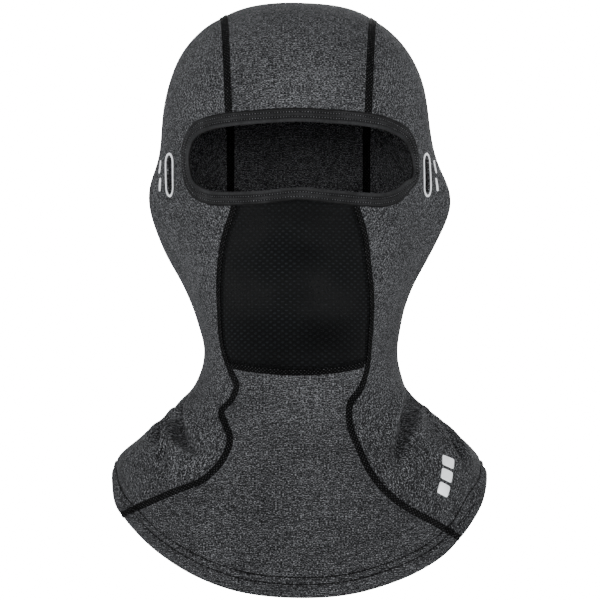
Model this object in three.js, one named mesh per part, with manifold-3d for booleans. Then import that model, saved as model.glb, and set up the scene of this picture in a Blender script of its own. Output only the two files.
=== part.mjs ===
// Balaclava: one continuous knitted hood made of five fabric panels, joined by covered flat seams,
// with a bound eye opening, two edged slots for spectacle arms and a doubled, stitched bib hem.
// Millimetres, +Z up, the face looks along -Y, so +X is the wearer's left.
// The origin is the inside of the crown, where the top of the head touches.
import * as THREE from 'three';
import { mergeVertices } from 'three/addons/utils/BufferGeometryUtils.js';
import Module from 'manifold-3d';

// ---- overall sizes -------------------------------------------------------------------------
const WIDTH = 1.0; // scales every half width, head and bib alike
const HEIGHT = 1.0; // scales every level below the crown
const FABRIC = 1.4; // one layer of fabric
const TAPE = 0.8; // binding tape, one layer
const THREAD = 0.5; // thickness of a seam cover or a stitch row
const GAP = 0.55; // clearance between parts that lie on each other
const GAP_INSIDE = 0.8; // the same on the inside, where the fabric curves towards the strip
const END_GAP = 1.2; // where a seam cover ends beside another strip
const CUT = 0.3; // gap between two panel edges under a seam

// ---- head and bib shape: levels below the crown, half widths and depths ---------------------
const DOME_DROP = 90; // from the crown to the widest level of the forehead
const DOME_POWER = 2.4; // how square the dome is, 2 is an ellipse
const SQUARENESS = 0.032; // how far the sections bulge at the diagonals
const STATIONS = [
  { level: -90, half: 88.5, front: 97, back: 99 },
  { level: -115, half: 87.5, front: 98, back: 98 },
  { level: -140, half: 85.5, front: 98, back: 91 },
  { level: -165, half: 82, front: 99, back: 80 },
  { level: -190, half: 75, front: 100, back: 70 },
  { level: -212, half: 68.5, front: 98, back: 64 },
  { level: -234, half: 64, front: 82, back: 61 },
  { level: -256, half: 70, front: 71, back: 64 },
  { level: -272, half: 83, front: 74, back: 72 },
  { level: -289, half: 105, front: 80, back: 80 },
  { level: -305, half: 122, front: 87, back: 87 },
  { level: -321, half: 126.8, front: 92, back: 91 },
  { level: -350, half: 127.5, front: 97, back: 95 },
  { level: -430, half: 128, front: 102, back: 98 },
];
const EAR = { out: 14.5, level: -136, back: 8, tall: 22, deep: 24 };
const NOSE = { out: 15, level: -157, wide: 15, above: 20, below: 11 };

// ---- hem -----------------------------------------------------------------------------------
const NECK_LEVEL = -234; // the narrowest level
const BEYOND = 12; // how far seam cuts run past the edge of the hem
const HEM_SIDE = -320; // level of the edge at the shoulders
const HEM_FRONT_DROP = 73;
const HEM_BACK_DROP = 45;
const HEM_POWER = 1.35; // roundness of the hem's curve
const FOLD = 16; // depth of the doubled hem
const HEM_ROWS = [9, 13.5]; // stitch rows, in from the edge
const HEM_THREAD = 1.2;

// ---- seams, as control points across the front: x and level --------------------------------
const SEAM_WIDTH = 4.6; // front seams
const CROWN_SEAM_WIDTH = 5.6;
const CROWN_HALF = 48; // from the middle to each crown seam
const FOREHEAD_TURN = -8; // where a crown seam's cut begins, in degrees above the dome's centre
const CROWN_FLARE = 4; // how much further apart the two seams are at the back hem
const FRONT_SEAM_RIGHT = [
  [-42, -112], [-42, -137], [-49, -160], [-52, -183], [-52, -207], [-50, -231], [-45, -246], [-41, -256],
  [-44, -265], [-51, -273], [-48, -282], [-45, -290], [-48, -301], [-61, -316], [-84, -326], [-117, -342],
  [-122, -346],
];
const FRONT_SEAM_LEFT = [
  [37, -112], [38, -138], [43, -155], [46, -178], [48, -199], [47, -226], [45, -246], [41, -258],
  [34, -268], [34, -282], [39, -295], [49, -315], [66, -332], [90, -346], [108, -358], [116, -366],
];
const CHIN_LIFT = 0.25; // the chin seam bridges the hollow under the chin
const CHIN_SEAM = [[-46.5, -242], [-32, -244.8], [0, -247], [31, -244.6], [46.3, -241]];

// ---- eye opening: edge of the binding, x and level -----------------------------------------
const EYE_EDGE = [
  [0, -83], [-24, -84], [-44, -85.5], [-58, -87.5], [-68, -92], [-72.5, -101], [-72.5, -112], [-69, -122],
  [-60, -127.5], [-46, -129], [-25, -128.5], [0, -126.5], [22, -128], [42, -129.5], [56, -129.5],
  [67, -125], [73, -116], [73, -106], [69, -95], [58, -88.5], [42, -85.5], [22, -84],
];
const EYE_MIDDLE = { level: -106, within: 30, before: 160, depth: 70 };
const BINDING = 8.8; // width of the binding
const BINDING_LAP = 1.6; // from the binding's fold to the fabric edge inside it
const BINDING_BEND = 0.9; // where the fold begins to turn
const BINDING_ROWS = [3.0, 6.2]; // its two stitch rows, out from the edge
const BINDING_THREAD = 0.9;

// ---- slots for spectacle arms, trims, marks and label --------------------------------------
const SLOT = { level: -116, side: 69, width: 7.8, height: 24.4, lean: 2 }; // side: angle from the front
const TRIM = { margin: 0.5, line: 2.7, thick: 0.5 }; // the margin shows fabric inside the trim
const FILM = 0.4; // reflective film
const EAR_MARK = { side: 81, level: -116, width: 2.6, height: 9, apart: 12 };
const SHOULDER_MARK = { x: 98, level: -315, length: 8, width: 9, pitch: 10.4, lean: 64.5 };
const LABEL = { level: -168, width: 22, height: 24, thick: 0.6 };

// ---- how finely the surface is divided -----------------------------------------------------
const FRONT_STEPS = 28; // columns within the spread, where seams and opening lie
const FRONT_SPREAD = 88;
const BACK_STEPS = 18;
const DOME_ROWS = 6;
const BODY_ROWS = 19;
const FINE = 2; // spacing at which a path is first measured
const CLOSE = 0.12; // how near a strip keeps to the fabric under it
const COARSE = 0.5; // how near a cut keeps to its seam
const REACH = { in: -8, out: 6 }; // how far a cut goes through the fabric, along its normal
const FAR = 300; // where rays from the front begin
const ABOVE = 12; // height above the fabric from which a point is dropped onto it

const rad = THREE.MathUtils.degToRad;
const vec = (x, y, z) => new THREE.Vector3(x, y, z);

// ---- the outside surface of the fabric -----------------------------------------------------

function slopeAt(i, key) {
  if (i === 0) return 0;
  const a = STATIONS[i - 1];
  const b = STATIONS[Math.min(STATIONS.length - 1, i + 1)];
  return (b[key] - a[key]) / (b.level - a.level);
}

/** A half width or depth at a level, run smoothly through the stations. */
function stationValue(level, key) {
  const last = STATIONS.length - 2;
  const found = STATIONS.findIndex((s) => s.level < level) - 1;
  const i = found < 0 ? (level > STATIONS[0].level ? 0 : last) : found;
  const [a, b] = [STATIONS[i], STATIONS[i + 1]];
  const span = b.level - a.level;
  const t = THREE.MathUtils.clamp((level - a.level) / span, 0, 1);
  const t2 = t * t;
  const t3 = t2 * t;
  const start = (2 * t3 - 3 * t2 + 1) * a[key] + (t3 - 2 * t2 + t) * span * slopeAt(i, key);
  return start + (3 * t2 - 2 * t3) * b[key] + (t3 - t2) * span * slopeAt(i + 1, key);
}

/** Level of the hem's edge in the direction `angle` (0 is the front). */
function hemLevel(angle) {
  const c = Math.cos(angle);
  const drop = c > 0 ? HEM_FRONT_DROP : HEM_BACK_DROP;
  return HEM_SIDE - drop * Math.pow(Math.abs(c), HEM_POWER);
}

function earRelief(x, y, level) {
  const e = EAR;
  const up = ((level - e.level) / e.tall) ** 2 / 2;
  const along = ((y - e.back) / e.deep) ** 2 / 2;
  const side = THREE.MathUtils.clamp((Math.abs(x) - 40) / 30, 0, 1);
  return Math.sign(x) * e.out * side * Math.exp(-up - along);
}

function noseRelief(x, level) {
  const n = NOSE;
  const tall = level > n.level ? n.above : n.below;
  return n.out * Math.exp(-((x / n.wide) ** 2) / 2 - ((level - n.level) / tall) ** 2 / 2);
}

/** Point of the outside surface. t runs 0..1 over the dome, 1..2 to the hem fold, 2..3 to the edge. */
function surfacePoint(angle, t) {
  const turn = Math.min(t, 1) * Math.PI / 2;
  const power = 2 / DOME_POWER;
  const shrink = Math.pow(Math.sin(turn), power);
  const foldTop = hemLevel(angle) + FOLD;
  let level = -DOME_DROP * (1 - Math.pow(Math.max(0, Math.cos(turn)), power));
  if (t > 1) level = -DOME_DROP + (foldTop + DOME_DROP) * (Math.min(t, 2) - 1);
  if (t > 2) level = foldTop - FOLD * (t - 2);
  const bulge = 1 + SQUARENESS * Math.sin(2 * angle) ** 2;
  const depth = stationValue(level, Math.cos(angle) > 0 ? 'front' : 'back');
  const x = stationValue(level, 'half') * shrink * bulge * Math.sin(angle);
  const y = -depth * shrink * bulge * Math.cos(angle);
  const nose = y < 0 ? noseRelief(x, level) : 0;
  return vec((x + earRelief(x, y, level)) * WIDTH, y - nose, level * HEIGHT);
}

function surfaceNormal(angle, t) {
  const step = 1e-3;
  const across = surfacePoint(angle + step, t).sub(surfacePoint(angle - step, t));
  const down = surfacePoint(angle, t + step).sub(surfacePoint(angle, t - step));
  return down.cross(across).normalize();
}

function columnAngles() {
  const spread = rad(FRONT_SPREAD);
  const front = Array.from({ length: FRONT_STEPS }, (_, i) => -spread + (2 * spread * i) / FRONT_STEPS);
  const rest = 2 * Math.PI - 2 * spread;
  const back = Array.from({ length: BACK_STEPS }, (_, i) => spread + (rest * i) / BACK_STEPS);
  return front.concat(back);
}

function shellRows() {
  const dome = Array.from({ length: DOME_ROWS }, (_, i) => (i + 1) / DOME_ROWS);
  const body = Array.from({ length: BODY_ROWS }, (_, i) => 1 + (i + 1) / BODY_ROWS);
  return dome.concat(body);
}

// ---- meshes from rings of points -----------------------------------------------------------

function geometryOf(points, faces) {
  const geometry = new THREE.BufferGeometry();
  const numbers = points.flatMap((p) => p.toArray());
  geometry.setAttribute('position', new THREE.Float32BufferAttribute(numbers, 3));
  geometry.setIndex(faces.flat());
  return geometry;
}

function signedVolume(geometry) {
  const p = geometry.getAttribute('position');
  const index = geometry.getIndex();
  const corner = (i) => vec().fromBufferAttribute(p, index.getX(i));
  let sum = 0;
  for (let i = 0; i < index.count; i += 3) {
    sum += corner(i).dot(corner(i + 1).cross(corner(i + 2)));
  }
  return sum / 6;
}

/** Turns every face round if the body is inside out. */
function faceOut(geometry) {
  if (signedVolume(geometry) > 0) return geometry;
  const index = geometry.getIndex();
  for (let i = 0; i < index.count; i += 3) {
    const keep = index.getX(i);
    index.setX(i, index.getX(i + 1));
    index.setX(i + 1, keep);
  }
  return geometry;
}

/** Quads between consecutive rings of the same length; each ring closes on itself.
 * `mirror` picks which way each quad is split, so that both faces of a thin body are split alike. */
function bandFaces(ringCount, length, wrap, mirror) {
  const faces = [];
  const rings = wrap ? ringCount : ringCount - 1;
  for (let r = 0; r < rings; r += 1) {
    const next = (r + 1) % ringCount;
    for (let k = 0; k < length; k += 1) {
      const k2 = (k + 1) % length;
      const [a, b] = [r * length + k, r * length + k2];
      const [c, d] = [next * length + k2, next * length + k];
      if (mirror(r, k)) faces.push([a, b, d], [b, c, d]);
      else faces.push([a, b, c], [a, c, d]);
    }
  }
  return faces;
}

/** A body from rings, open ends closed by a fan from the given end points. */
function ringBody(rings, ends, mirror = (r, k) => k >= rings[0].length / 2) {
  const length = rings[0].length;
  const points = rings.flat().concat(ends || []);
  const faces = bandFaces(rings.length, length, !ends, mirror);
  if (ends) {
    const last = (rings.length - 1) * length;
    for (let k = 0; k < length; k += 1) {
      const k2 = (k + 1) % length;
      faces.push([rings.length * length, k2, k], [rings.length * length + 1, last + k, last + k2]);
    }
  }
  return faceOut(geometryOf(points, faces));
}

/** The whole hood before cutting: a thin closed cup, doubled along the hem. */
function hoodShell() {
  const angles = columnAngles();
  const outer = shellRows().map((t) => ({ t, depth: 0 }));
  const hem = [[2.5, 0], [3, 0], [3, 2], [2.5, 2], [2.04, 2]].map(([t, depth]) => ({ t, depth }));
  const inner = shellRows().reverse().map((t) => ({ t, depth: 1 }));
  const rings = [...outer, ...hem, ...inner].map(({ t, depth }) => angles.map((angle) => {
    const inward = surfaceNormal(angle, t).multiplyScalar(-depth * FABRIC);
    return surfacePoint(angle, t).add(inward);
  }));
  return ringBody(rings, [vec(0, 0, 0), vec(0, 0, -FABRIC)], (r) => r > outer.length + 1);
}

/** One layer that carries on past the hem, used to find points on the fabric. */
function measuringSurface() {
  const angles = columnAngles();
  const rows = shellRows().concat([2.5, 3, 4, 5]);
  const rings = rows.map((t) => angles.map((angle) => surfacePoint(angle, t)));
  const points = rings.flat().concat([vec(0, 0, 0)]);
  const faces = bandFaces(rings.length, angles.length, false, () => false);
  for (let k = 0; k < angles.length; k += 1) {
    faces.push([points.length - 1, (k + 1) % angles.length, k]);
  }
  const geometry = geometryOf(points, faces);
  geometry.computeVertexNormals();
  return new THREE.Mesh(geometry, new THREE.MeshStandardMaterial({ side: THREE.DoubleSide }));
}

const surface = measuringSurface();
const caster = new THREE.Raycaster();

/** Where a ray meets the fabric, with the outward normal there. */
function onFabric(from, direction) {
  caster.set(from, direction.clone().normalize());
  const hit = caster.intersectObject(surface)[0];
  const normal = hit.normal.clone().normalize();
  const outward = vec(hit.point.x, hit.point.y, hit.point.z > -DOME_DROP ? hit.point.z + DOME_DROP : 0);
  if (normal.dot(outward) < 0) normal.negate();
  return { point: hit.point.clone(), normal };
}

const fromFront = (x, level) => onFabric(vec(x * WIDTH, -FAR, level * HEIGHT), vec(0, 1, 0));
const fromAxis = (angle, level) => onFabric(vec(0, 0, level), vec(Math.sin(angle), -Math.cos(angle), 0));

// ---- strips that lie on the fabric ---------------------------------------------------------

/** Adds the sideways direction to each spot of a path. */
function withSides(spots, closed) {
  const n = spots.length;
  return spots.map((spot, i) => {
    const before = spots[closed ? (i + n - 1) % n : Math.max(0, i - 1)].point;
    const after = spots[closed ? (i + 1) % n : Math.min(n - 1, i + 1)].point;
    const along = after.clone().sub(before).normalize();
    const side = along.clone().cross(spot.normal).normalize();
    return { ...spot, side, normal: side.clone().cross(along).normalize() };
  });
}

/** A strip of rectangular section: `width` across, from `low` to `high` above the surface. */
function strip(spots, width, low, high, closed = false) {
  const rings = withSides(spots, closed).map((s) => {
    const lift = s.lift || 0;
    const corner = (across, up) => s.point.clone()
      .addScaledVector(s.side, across).addScaledVector(s.normal, up + lift);
    const half = width / 2;
    return [corner(-half, low), corner(half, low), corner(half, high), corner(-half, high)];
  });
  if (closed) return ringBody(rings, null);
  const middle = (ring) => ring[0].clone().add(ring[2]).multiplyScalar(0.5);
  return ringBody(rings, [middle(rings[0]), middle(rings[rings.length - 1])]);
}

/** Drops the spots of a finely measured path that its chords don't need. */
function thinned(spots, tolerance) {
  if (spots.length < 3) return spots;
  const [first, last] = [spots[0], spots[spots.length - 1]];
  const chord = new THREE.Line3(first.point, last.point);
  const miss = (s) => chord.closestPointToPoint(s.point, true, vec()).distanceTo(s.point);
  const worst = spots.reduce((best, s, i) => (miss(s) > miss(spots[best]) ? i : best), 0);
  if (miss(spots[worst]) < tolerance) return [first, last];
  const start = thinned(spots.slice(0, worst + 1), tolerance);
  return start.slice(0, -1).concat(thinned(spots.slice(worst), tolerance));
}

const outside = (spots, width) => strip(thinned(spots, CLOSE), width, GAP, GAP + THREAD);
function inside(spots, width) {
  const high = -FABRIC - GAP_INSIDE;
  return strip(thinned(spots, CLOSE), width, high - THREAD, high);
}

const knife = (spots) => strip(thinned(spots, COARSE), CUT, REACH.in, REACH.out);

// ---- seam paths ----------------------------------------------------------------------------

function frontCurve(controls, closed) {
  const points = controls.map(([x, level]) => vec(x, 0, level));
  return new THREE.CatmullRomCurve3(points, closed, 'centripetal');
}

function frontPath(controls) {
  const curve = frontCurve(controls, false);
  return curve.getSpacedPoints(Math.round(curve.getLength() / FINE)).map((p) => fromFront(p.x, p.z));
}

/** From the forehead over the crown and down the back, `side` is -1 or 1. */
function crownPath(side) {
  const spots = [];
  const x = side * CROWN_HALF * WIDTH;
  for (let turn = FOREHEAD_TURN; turn < 180; turn += 1) {
    const away = vec(0, -Math.cos(rad(turn)), Math.sin(rad(turn)));
    spots.push(onFabric(vec(x, 0, -DOME_DROP * HEIGHT), away));
  }
  for (let level = -DOME_DROP; level > HEM_SIDE - HEM_BACK_DROP - BEYOND; level -= FINE) {
    const flare = CROWN_FLARE * THREE.MathUtils.smoothstep(-level, -NECK_LEVEL, -HEM_SIDE) * side;
    spots.push(onFabric(vec(x + flare, 0, level * HEIGHT), vec(0, 1, 0)));
  }
  return spots;
}

/** The surface's own angle at a point on it. */
function angleOf(p) {
  const level = p.z / HEIGHT;
  const depth = stationValue(level, p.y < 0 ? 'front' : 'back');
  return Math.atan2(p.x / (stationValue(level, 'half') * WIDTH), -p.y / depth);
}

const aboveHem = (p) => p.z - hemLevel(angleOf(p)) * HEIGHT;

/** The part of a path whose spots pass a test, ending exactly where the test changes. */
function trimmed(spots, keep) {
  const inner = spots.filter((s) => keep(s.point));
  const first = spots.indexOf(inner[0]);
  const last = spots.indexOf(inner[inner.length - 1]);
  if (first > 0) inner.unshift(between(spots[first], spots[first - 1], keep));
  if (last < spots.length - 1) inner.push(between(spots[last], spots[last + 1], keep));
  return inner;
}

function between(good, bad, keep) {
  let [a, b] = [0, 1];
  const at = (t) => good.point.clone().lerp(bad.point, t);
  for (let i = 0; i < 20; i += 1) {
    const middle = (a + b) / 2;
    if (keep(at(middle))) a = middle;
    else b = middle;
  }
  return { point: at(a), normal: good.normal.clone().lerp(bad.normal, a).normalize() };
}

// ---- eye opening ---------------------------------------------------------------------------

const EYE_SPOTS = 48;

function eyeEdge() {
  const points = frontCurve(EYE_EDGE, true).getSpacedPoints(EYE_SPOTS).slice(0, EYE_SPOTS);
  return withSides(points.map((p) => fromFront(p.x, p.z)), true);
}

/** Away from the opening, along the fabric. */
function awayFromEye(spot) {
  const centre = vec(0, -EYE_MIDDLE.depth, EYE_MIDDLE.level * HEIGHT);
  return spot.side.clone().multiplyScalar(Math.sign(spot.point.clone().sub(centre).dot(spot.side)));
}

/** A loop around the opening, `out` millimetres from the binding's edge. */
function eyeLoop(edge, out) {
  return edge.map((spot) => {
    const from = spot.point.clone().addScaledVector(awayFromEye(spot), out);
    return onFabric(from.addScaledVector(spot.normal, ABOVE), spot.normal.clone().negate());
  });
}

/** The binding: a tape folded over the fabric edge, both legs lying on the fabric. */
function bindingBody(edge) {
  const [near, far] = [GAP_INSIDE, GAP_INSIDE + TAPE];
  const loops = [BINDING_BEND, BINDING / 2, BINDING].map((out) => eyeLoop(edge, out));
  const bend = eyeLoop(edge, 0);
  const at = (spot, up) => spot.point.clone().addScaledVector(spot.normal, up);
  const rings = edge.map((_, i) => {
    const [a, b, c] = loops.map((loop) => loop[i]);
    const top = [at(c, far), at(b, far), at(a, far)];
    const fold = [at(bend[i], near), at(bend[i], -FABRIC - near)];
    const low = [at(a, -FABRIC - far), at(b, -FABRIC - far), at(c, -FABRIC - far)];
    const within = [c, b, a].map((spot) => at(spot, -FABRIC - near));
    return [...top, ...fold, ...low, ...within, at(a, near), at(b, near), at(c, near)];
  });
  return ringBody(rings, null);
}

/** A plug through the fabric along a closed loop, its walls square to the fabric. */
function plug(loop, innerEnd, outerEnd) {
  const ring = (up) => loop.map((s) => s.point.clone().addScaledVector(s.normal, up));
  return ringBody([ring(REACH.in), ring(REACH.out)], [innerEnd, outerEnd]);
}

// ---- slots, marks and label ----------------------------------------------------------------

/** A flat frame on the fabric: u runs level, v runs up, turned by `lean` degrees. */
function patchFrame(centre, lean) {
  const level = vec(0, 0, 1).cross(centre.normal).normalize();
  const up = centre.normal.clone().cross(level).normalize();
  const turn = rad(lean);
  const v = up.clone().multiplyScalar(Math.cos(turn)).addScaledVector(level, Math.sin(turn));
  return { centre, u: v.clone().cross(centre.normal).normalize(), v };
}

function onPatch(frame, across, up) {
  const { centre, u, v } = frame;
  const from = centre.point.clone().addScaledVector(u, across).addScaledVector(v, up);
  return onFabric(from.addScaledVector(centre.normal, ABOVE), centre.normal.clone().negate());
}

/** Outline of a slot with round ends. */
function stadium(frame, width, height, perEnd = 7) {
  const radius = width / 2;
  const reach = height / 2 - radius;
  const spots = [];
  for (const end of [1, -1]) {
    for (let i = 0; i <= perEnd; i += 1) {
      const a = Math.PI * (i / perEnd) + (end > 0 ? 0 : Math.PI);
      spots.push(onPatch(frame, radius * Math.cos(a), end * reach + radius * Math.sin(a)));
    }
    spots.push(onPatch(frame, -end * radius, 0));
  }
  return spots;
}

/** A flat ring between two outlines with the same number of spots. */
function flatRing(innerLoop, outerLoop, low, high) {
  const at = (s, up) => s.point.clone().addScaledVector(s.normal, up);
  const rings = innerLoop.map((s, i) => {
    const o = outerLoop[i];
    return [at(s, low), at(o, low), at(o, high), at(s, high)];
  });
  return ringBody(rings, null);
}

/** A rectangular piece of thin material on the fabric. */
function patch(frame, width, height, low, high, rows) {
  const spots = [];
  for (let i = 0; i <= rows; i += 1) {
    spots.push(onPatch(frame, 0, height * (i / rows - 0.5)));
  }
  return strip(spots, width, low, high);
}

// ---- hem stitch rows -----------------------------------------------------------------------

const HOP = THREAD + GAP; // how far a row climbs to pass over a seam
const HOP_TURN = { over: rad(4.3), climb: rad(6.7), margin: 1.1 }; // half the hop, as angles round the hem

/** Directions in which a row meets the seams, found from the seam paths. */
function crossings(seams, inset) {
  return seams.map((spots) => {
    const miss = (s) => Math.abs(aboveHem(s.point) - inset);
    return angleOf(spots.reduce((best, s) => (miss(s) < miss(best) ? s : best)).point);
  });
}

/** A spot on the fabric, `inset` millimetres in from the sloping edge of the hem. */
function hemSpot(angle, inset) {
  const step = 0.02;
  const [before, after] = [surfacePoint(angle - step, 3), surfacePoint(angle + step, 3)];
  const slope = (after.z - before.z) / Math.hypot(after.x - before.x, after.y - before.y);
  const { x, y, z } = surfacePoint(angle, 3 - (inset * Math.hypot(1, slope)) / FOLD);
  return onFabric(vec(0, 0, z), vec(x, y, 0));
}

/** A row around the hem that hops over each seam it meets. */
function hemRow(inset, seams) {
  const { over, climb, margin } = HOP_TURN;
  const offset = (a, b) => Math.abs(Math.atan2(Math.sin(a - b), Math.cos(a - b)));
  const met = crossings(seams, inset);
  const even = columnAngles().filter((a) => met.every((m) => offset(a, m) > climb * margin));
  const extra = met.flatMap((m) => [-climb, -over, 0, over, climb].map((d) => m + d));
  const turn = (a) => Math.atan2(Math.sin(a), Math.cos(a));
  return even.concat(extra).map(turn).sort((a, b) => a - b).map((a) => {
    const lifted = met.some((m) => offset(a, m) < over * margin);
    return { ...hemSpot(a, inset), lift: lifted ? HOP : 0 };
  });
}

// ---- cutting -------------------------------------------------------------------------------

const wasm = await Module();
wasm.setup();

function toSolid(geometry) {
  const plain = geometry.clone();
  plain.deleteAttribute('normal');
  plain.deleteAttribute('uv');
  const merged = mergeVertices(plain, 1e-5);
  const mesh = new wasm.Mesh({
    numProp: 3,
    vertProperties: new Float32Array(merged.getAttribute('position').array),
    triVerts: new Uint32Array(merged.getIndex().array),
  });
  return new wasm.Manifold(mesh);
}

function cutAway(geometry, cutters) {
  let solid = toSolid(geometry);
  for (const cutter of cutters) solid = solid.subtract(toSolid(cutter));
  const mesh = solid.getMesh();
  return { points: mesh.vertProperties, faces: mesh.triVerts };
}

/** Splits a mesh into its connected bodies. */
function bodiesOf({ points, faces }) {
  const owner = Array.from({ length: points.length / 3 }, (_, i) => i);
  const find = (i) => {
    let root = i;
    while (owner[root] !== root) root = owner[root];
    owner[i] = root;
    return root;
  };
  for (let i = 0; i < faces.length; i += 3) {
    owner[find(faces[i + 1])] = find(faces[i]);
    owner[find(faces[i + 2])] = find(faces[i]);
  }
  const groups = new Map();
  for (let i = 0; i < faces.length; i += 3) {
    const root = find(faces[i]);
    if (!groups.has(root)) groups.set(root, []);
    groups.get(root).push(faces[i], faces[i + 1], faces[i + 2]);
  }
  return [...groups.values()].map((list) => {
    const geometry = new THREE.BufferGeometry();
    geometry.setAttribute('position', new THREE.Float32BufferAttribute(points, 3));
    geometry.setIndex(list);
    return geometry.toNonIndexed();
  });
}

/** Which panel a body is, from where its middle lies. */
function panelName(geometry) {
  geometry.computeBoundingBox();
  const middle = geometry.boundingBox.getCenter(vec());
  const half = (CROWN_HALF * WIDTH) / 2;
  if (middle.x > half) return 'side_panel_left';
  if (middle.x < -half) return 'side_panel_right';
  if (middle.y > -half) return 'centre_panel';
  return middle.z > NECK_LEVEL * HEIGHT ? 'mouth_panel' : 'bib_panel';
}

// ---- assembly ------------------------------------------------------------------------------

const COLOURS = {
  heather: 0x3c3e42,
  mesh: 0x17181a,
  seam: 0x121316,
  thread: 0x1b1c1f,
  tape: 0x151618,
  film: 0xc9ccd0,
  label: 0xd8d8d4,
};
const NEARBY = 7; // sideways distance within which the binding's outline counts
const balaclava = new THREE.Group();
balaclava.name = 'balaclava';

/** Adds a named mesh, moved so that the inside of the crown is at the origin. */
function add(name, geometry, colour) {
  const roughness = colour === 'film' ? 0.35 : 0.9;
  const material = new THREE.MeshStandardMaterial({ color: COLOURS[colour], roughness, metalness: 0 });
  const mesh = new THREE.Mesh(geometry.translate(0, 0, FABRIC), material);
  mesh.name = name;
  balaclava.add(mesh);
}

const edge = eyeEdge();
const bindingEnd = eyeLoop(edge, BINDING + END_GAP);
const eyeLevel = EYE_MIDDLE.level * HEIGHT;
const seamPaths = {
  crown_seam_left: crownPath(1),
  crown_seam_right: crownPath(-1),
  front_seam_left: frontPath(FRONT_SEAM_LEFT),
  front_seam_right: frontPath(FRONT_SEAM_RIGHT),
};
const allSeams = Object.values(seamPaths);
const chinPath = frontPath(CHIN_SEAM);

/** True where a point is clear of the binding, seen from the front. */
function clearOfBinding(p) {
  if (p.y > 0) return true;
  const sides = bindingEnd.filter((s) => Math.abs(s.point.x - p.x) < NEARBY);
  const top = Math.max(...sides.map((s) => s.point.z));
  const bottom = Math.min(...sides.map((s) => s.point.z));
  return sides.length === 0 || p.z > top || p.z < bottom;
}

function slotFrame(sign) {
  const angle = rad(SLOT.side);
  const outward = vec(sign * Math.sin(angle), -Math.cos(angle), 0);
  return patchFrame(onFabric(vec(0, 0, SLOT.level * HEIGHT), outward), sign * SLOT.lean);
}

const slotFrames = { left: slotFrame(1), right: slotFrame(-1) };

function slotPlug(frame) {
  const loop = stadium(frame, SLOT.width, SLOT.height);
  const end = (up) => frame.centre.point.clone().addScaledVector(frame.centre.normal, up);
  return plug(loop, end(REACH.in), end(REACH.out));
}

function eyePlug() {
  const end = (out) => vec(0, -out, eyeLevel);
  return plug(eyeLoop(edge, BINDING_LAP), end(EYE_MIDDLE.within), end(EYE_MIDDLE.before));
}

function addPanels() {
  const knives = [...allSeams, chinPath].map(knife);
  const plugs = [eyePlug(), ...Object.values(slotFrames).map(slotPlug)];
  for (const body of bodiesOf(cutAway(hoodShell(), [...knives, ...plugs]))) {
    const name = panelName(body);
    add(name, body, name === 'mouth_panel' ? 'mesh' : 'heather');
  }
}

/** The four long seams: a cover outside to the hem's edge, and one inside to the hem's fold. */
function addLongSeams() {
  for (const [name, path] of Object.entries(seamPaths)) {
    const isFront = name.startsWith('front');
    const width = isFront ? SEAM_WIDTH : CROWN_SEAM_WIDTH;
    const shown = (p) => (!isFront || p.z < eyeLevel) && clearOfBinding(p);
    const outer = trimmed(path, (p) => shown(p) && aboveHem(p) > CUT);
    const inner = trimmed(path, (p) => shown(p) && aboveHem(p) > FOLD + 2 * END_GAP);
    add(name, outside(outer, width), 'seam');
    add(`${name}_inside`, inside(inner, width), 'seam');
  }
}

function addChinSeam() {
  const [right, left] = [chinPath[0].point.x, chinPath[chinPath.length - 1].point.x];
  const beside = SEAM_WIDTH / 2 + END_GAP + 1;
  const spots = trimmed(chinPath, (p) => p.x > right + beside && p.x < left - beside);
  const overHollow = spots.map((s) => ({ ...s, lift: CHIN_LIFT }));
  add('chin_seam', outside(overHollow, SEAM_WIDTH), 'seam');
  add('chin_seam_inside', inside(spots, SEAM_WIDTH), 'seam');
}

function addBinding() {
  const low = GAP_INSIDE + TAPE + GAP;
  const row = (out) => strip(eyeLoop(edge, out), BINDING_THREAD, low, low + THREAD, true);
  add('eye_binding', bindingBody(edge), 'tape');
  add('eye_binding_stitch_inner', row(BINDING_ROWS[0]), 'thread');
  add('eye_binding_stitch_outer', row(BINDING_ROWS[1]), 'thread');
}

function addHemStitches() {
  const [lower, upper] = HEM_ROWS;
  const row = (inset) => strip(hemRow(inset, allSeams), HEM_THREAD, GAP, GAP + THREAD, true);
  add('hem_stitch_lower', row(lower), 'thread');
  add('hem_stitch_upper', row(upper), 'thread');
  const looper = hemRow((lower + upper) / 2, allSeams).map((s) => ({ ...s, lift: 0 }));
  const high = -2 * FABRIC - GAP_INSIDE;
  add('hem_stitch_inside', strip(looper, upper - lower + HEM_THREAD, high - THREAD, high, true), 'thread');
}

function addSlotTrim(side, frame) {
  const outline = (out) => stadium(frame, SLOT.width + 2 * out, SLOT.height + 2 * out);
  const ring = flatRing(outline(TRIM.margin), outline(TRIM.margin + TRIM.line), GAP, GAP + TRIM.thick);
  add(`slot_trim_${side}`, ring, 'film');
}

function addEarMarks(side) {
  const sign = side === 'left' ? 1 : -1;
  for (const [place, step] of [['upper', 0.5], ['lower', -0.5]]) {
    const level = (EAR_MARK.level + step * EAR_MARK.apart) * HEIGHT;
    const frame = patchFrame(fromAxis(sign * rad(EAR_MARK.side), level), sign * SLOT.lean);
    const mark = patch(frame, EAR_MARK.width, EAR_MARK.height, GAP, GAP + FILM, 2);
    add(`ear_reflector_${side}_${place}`, mark, 'film');
  }
}

function addShoulderMarks() {
  const mark = SHOULDER_MARK;
  const row = patchFrame(fromFront(mark.x, mark.level), 90 - mark.lean);
  for (const [place, step] of [['upper', 1], ['middle', 0], ['lower', -1]]) {
    const frame = { ...row, centre: onPatch(row, 0, step * mark.pitch) };
    add(`shoulder_reflector_${place}`, patch(frame, mark.width, mark.length, GAP, GAP + FILM, 2), 'film');
  }
}

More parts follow.
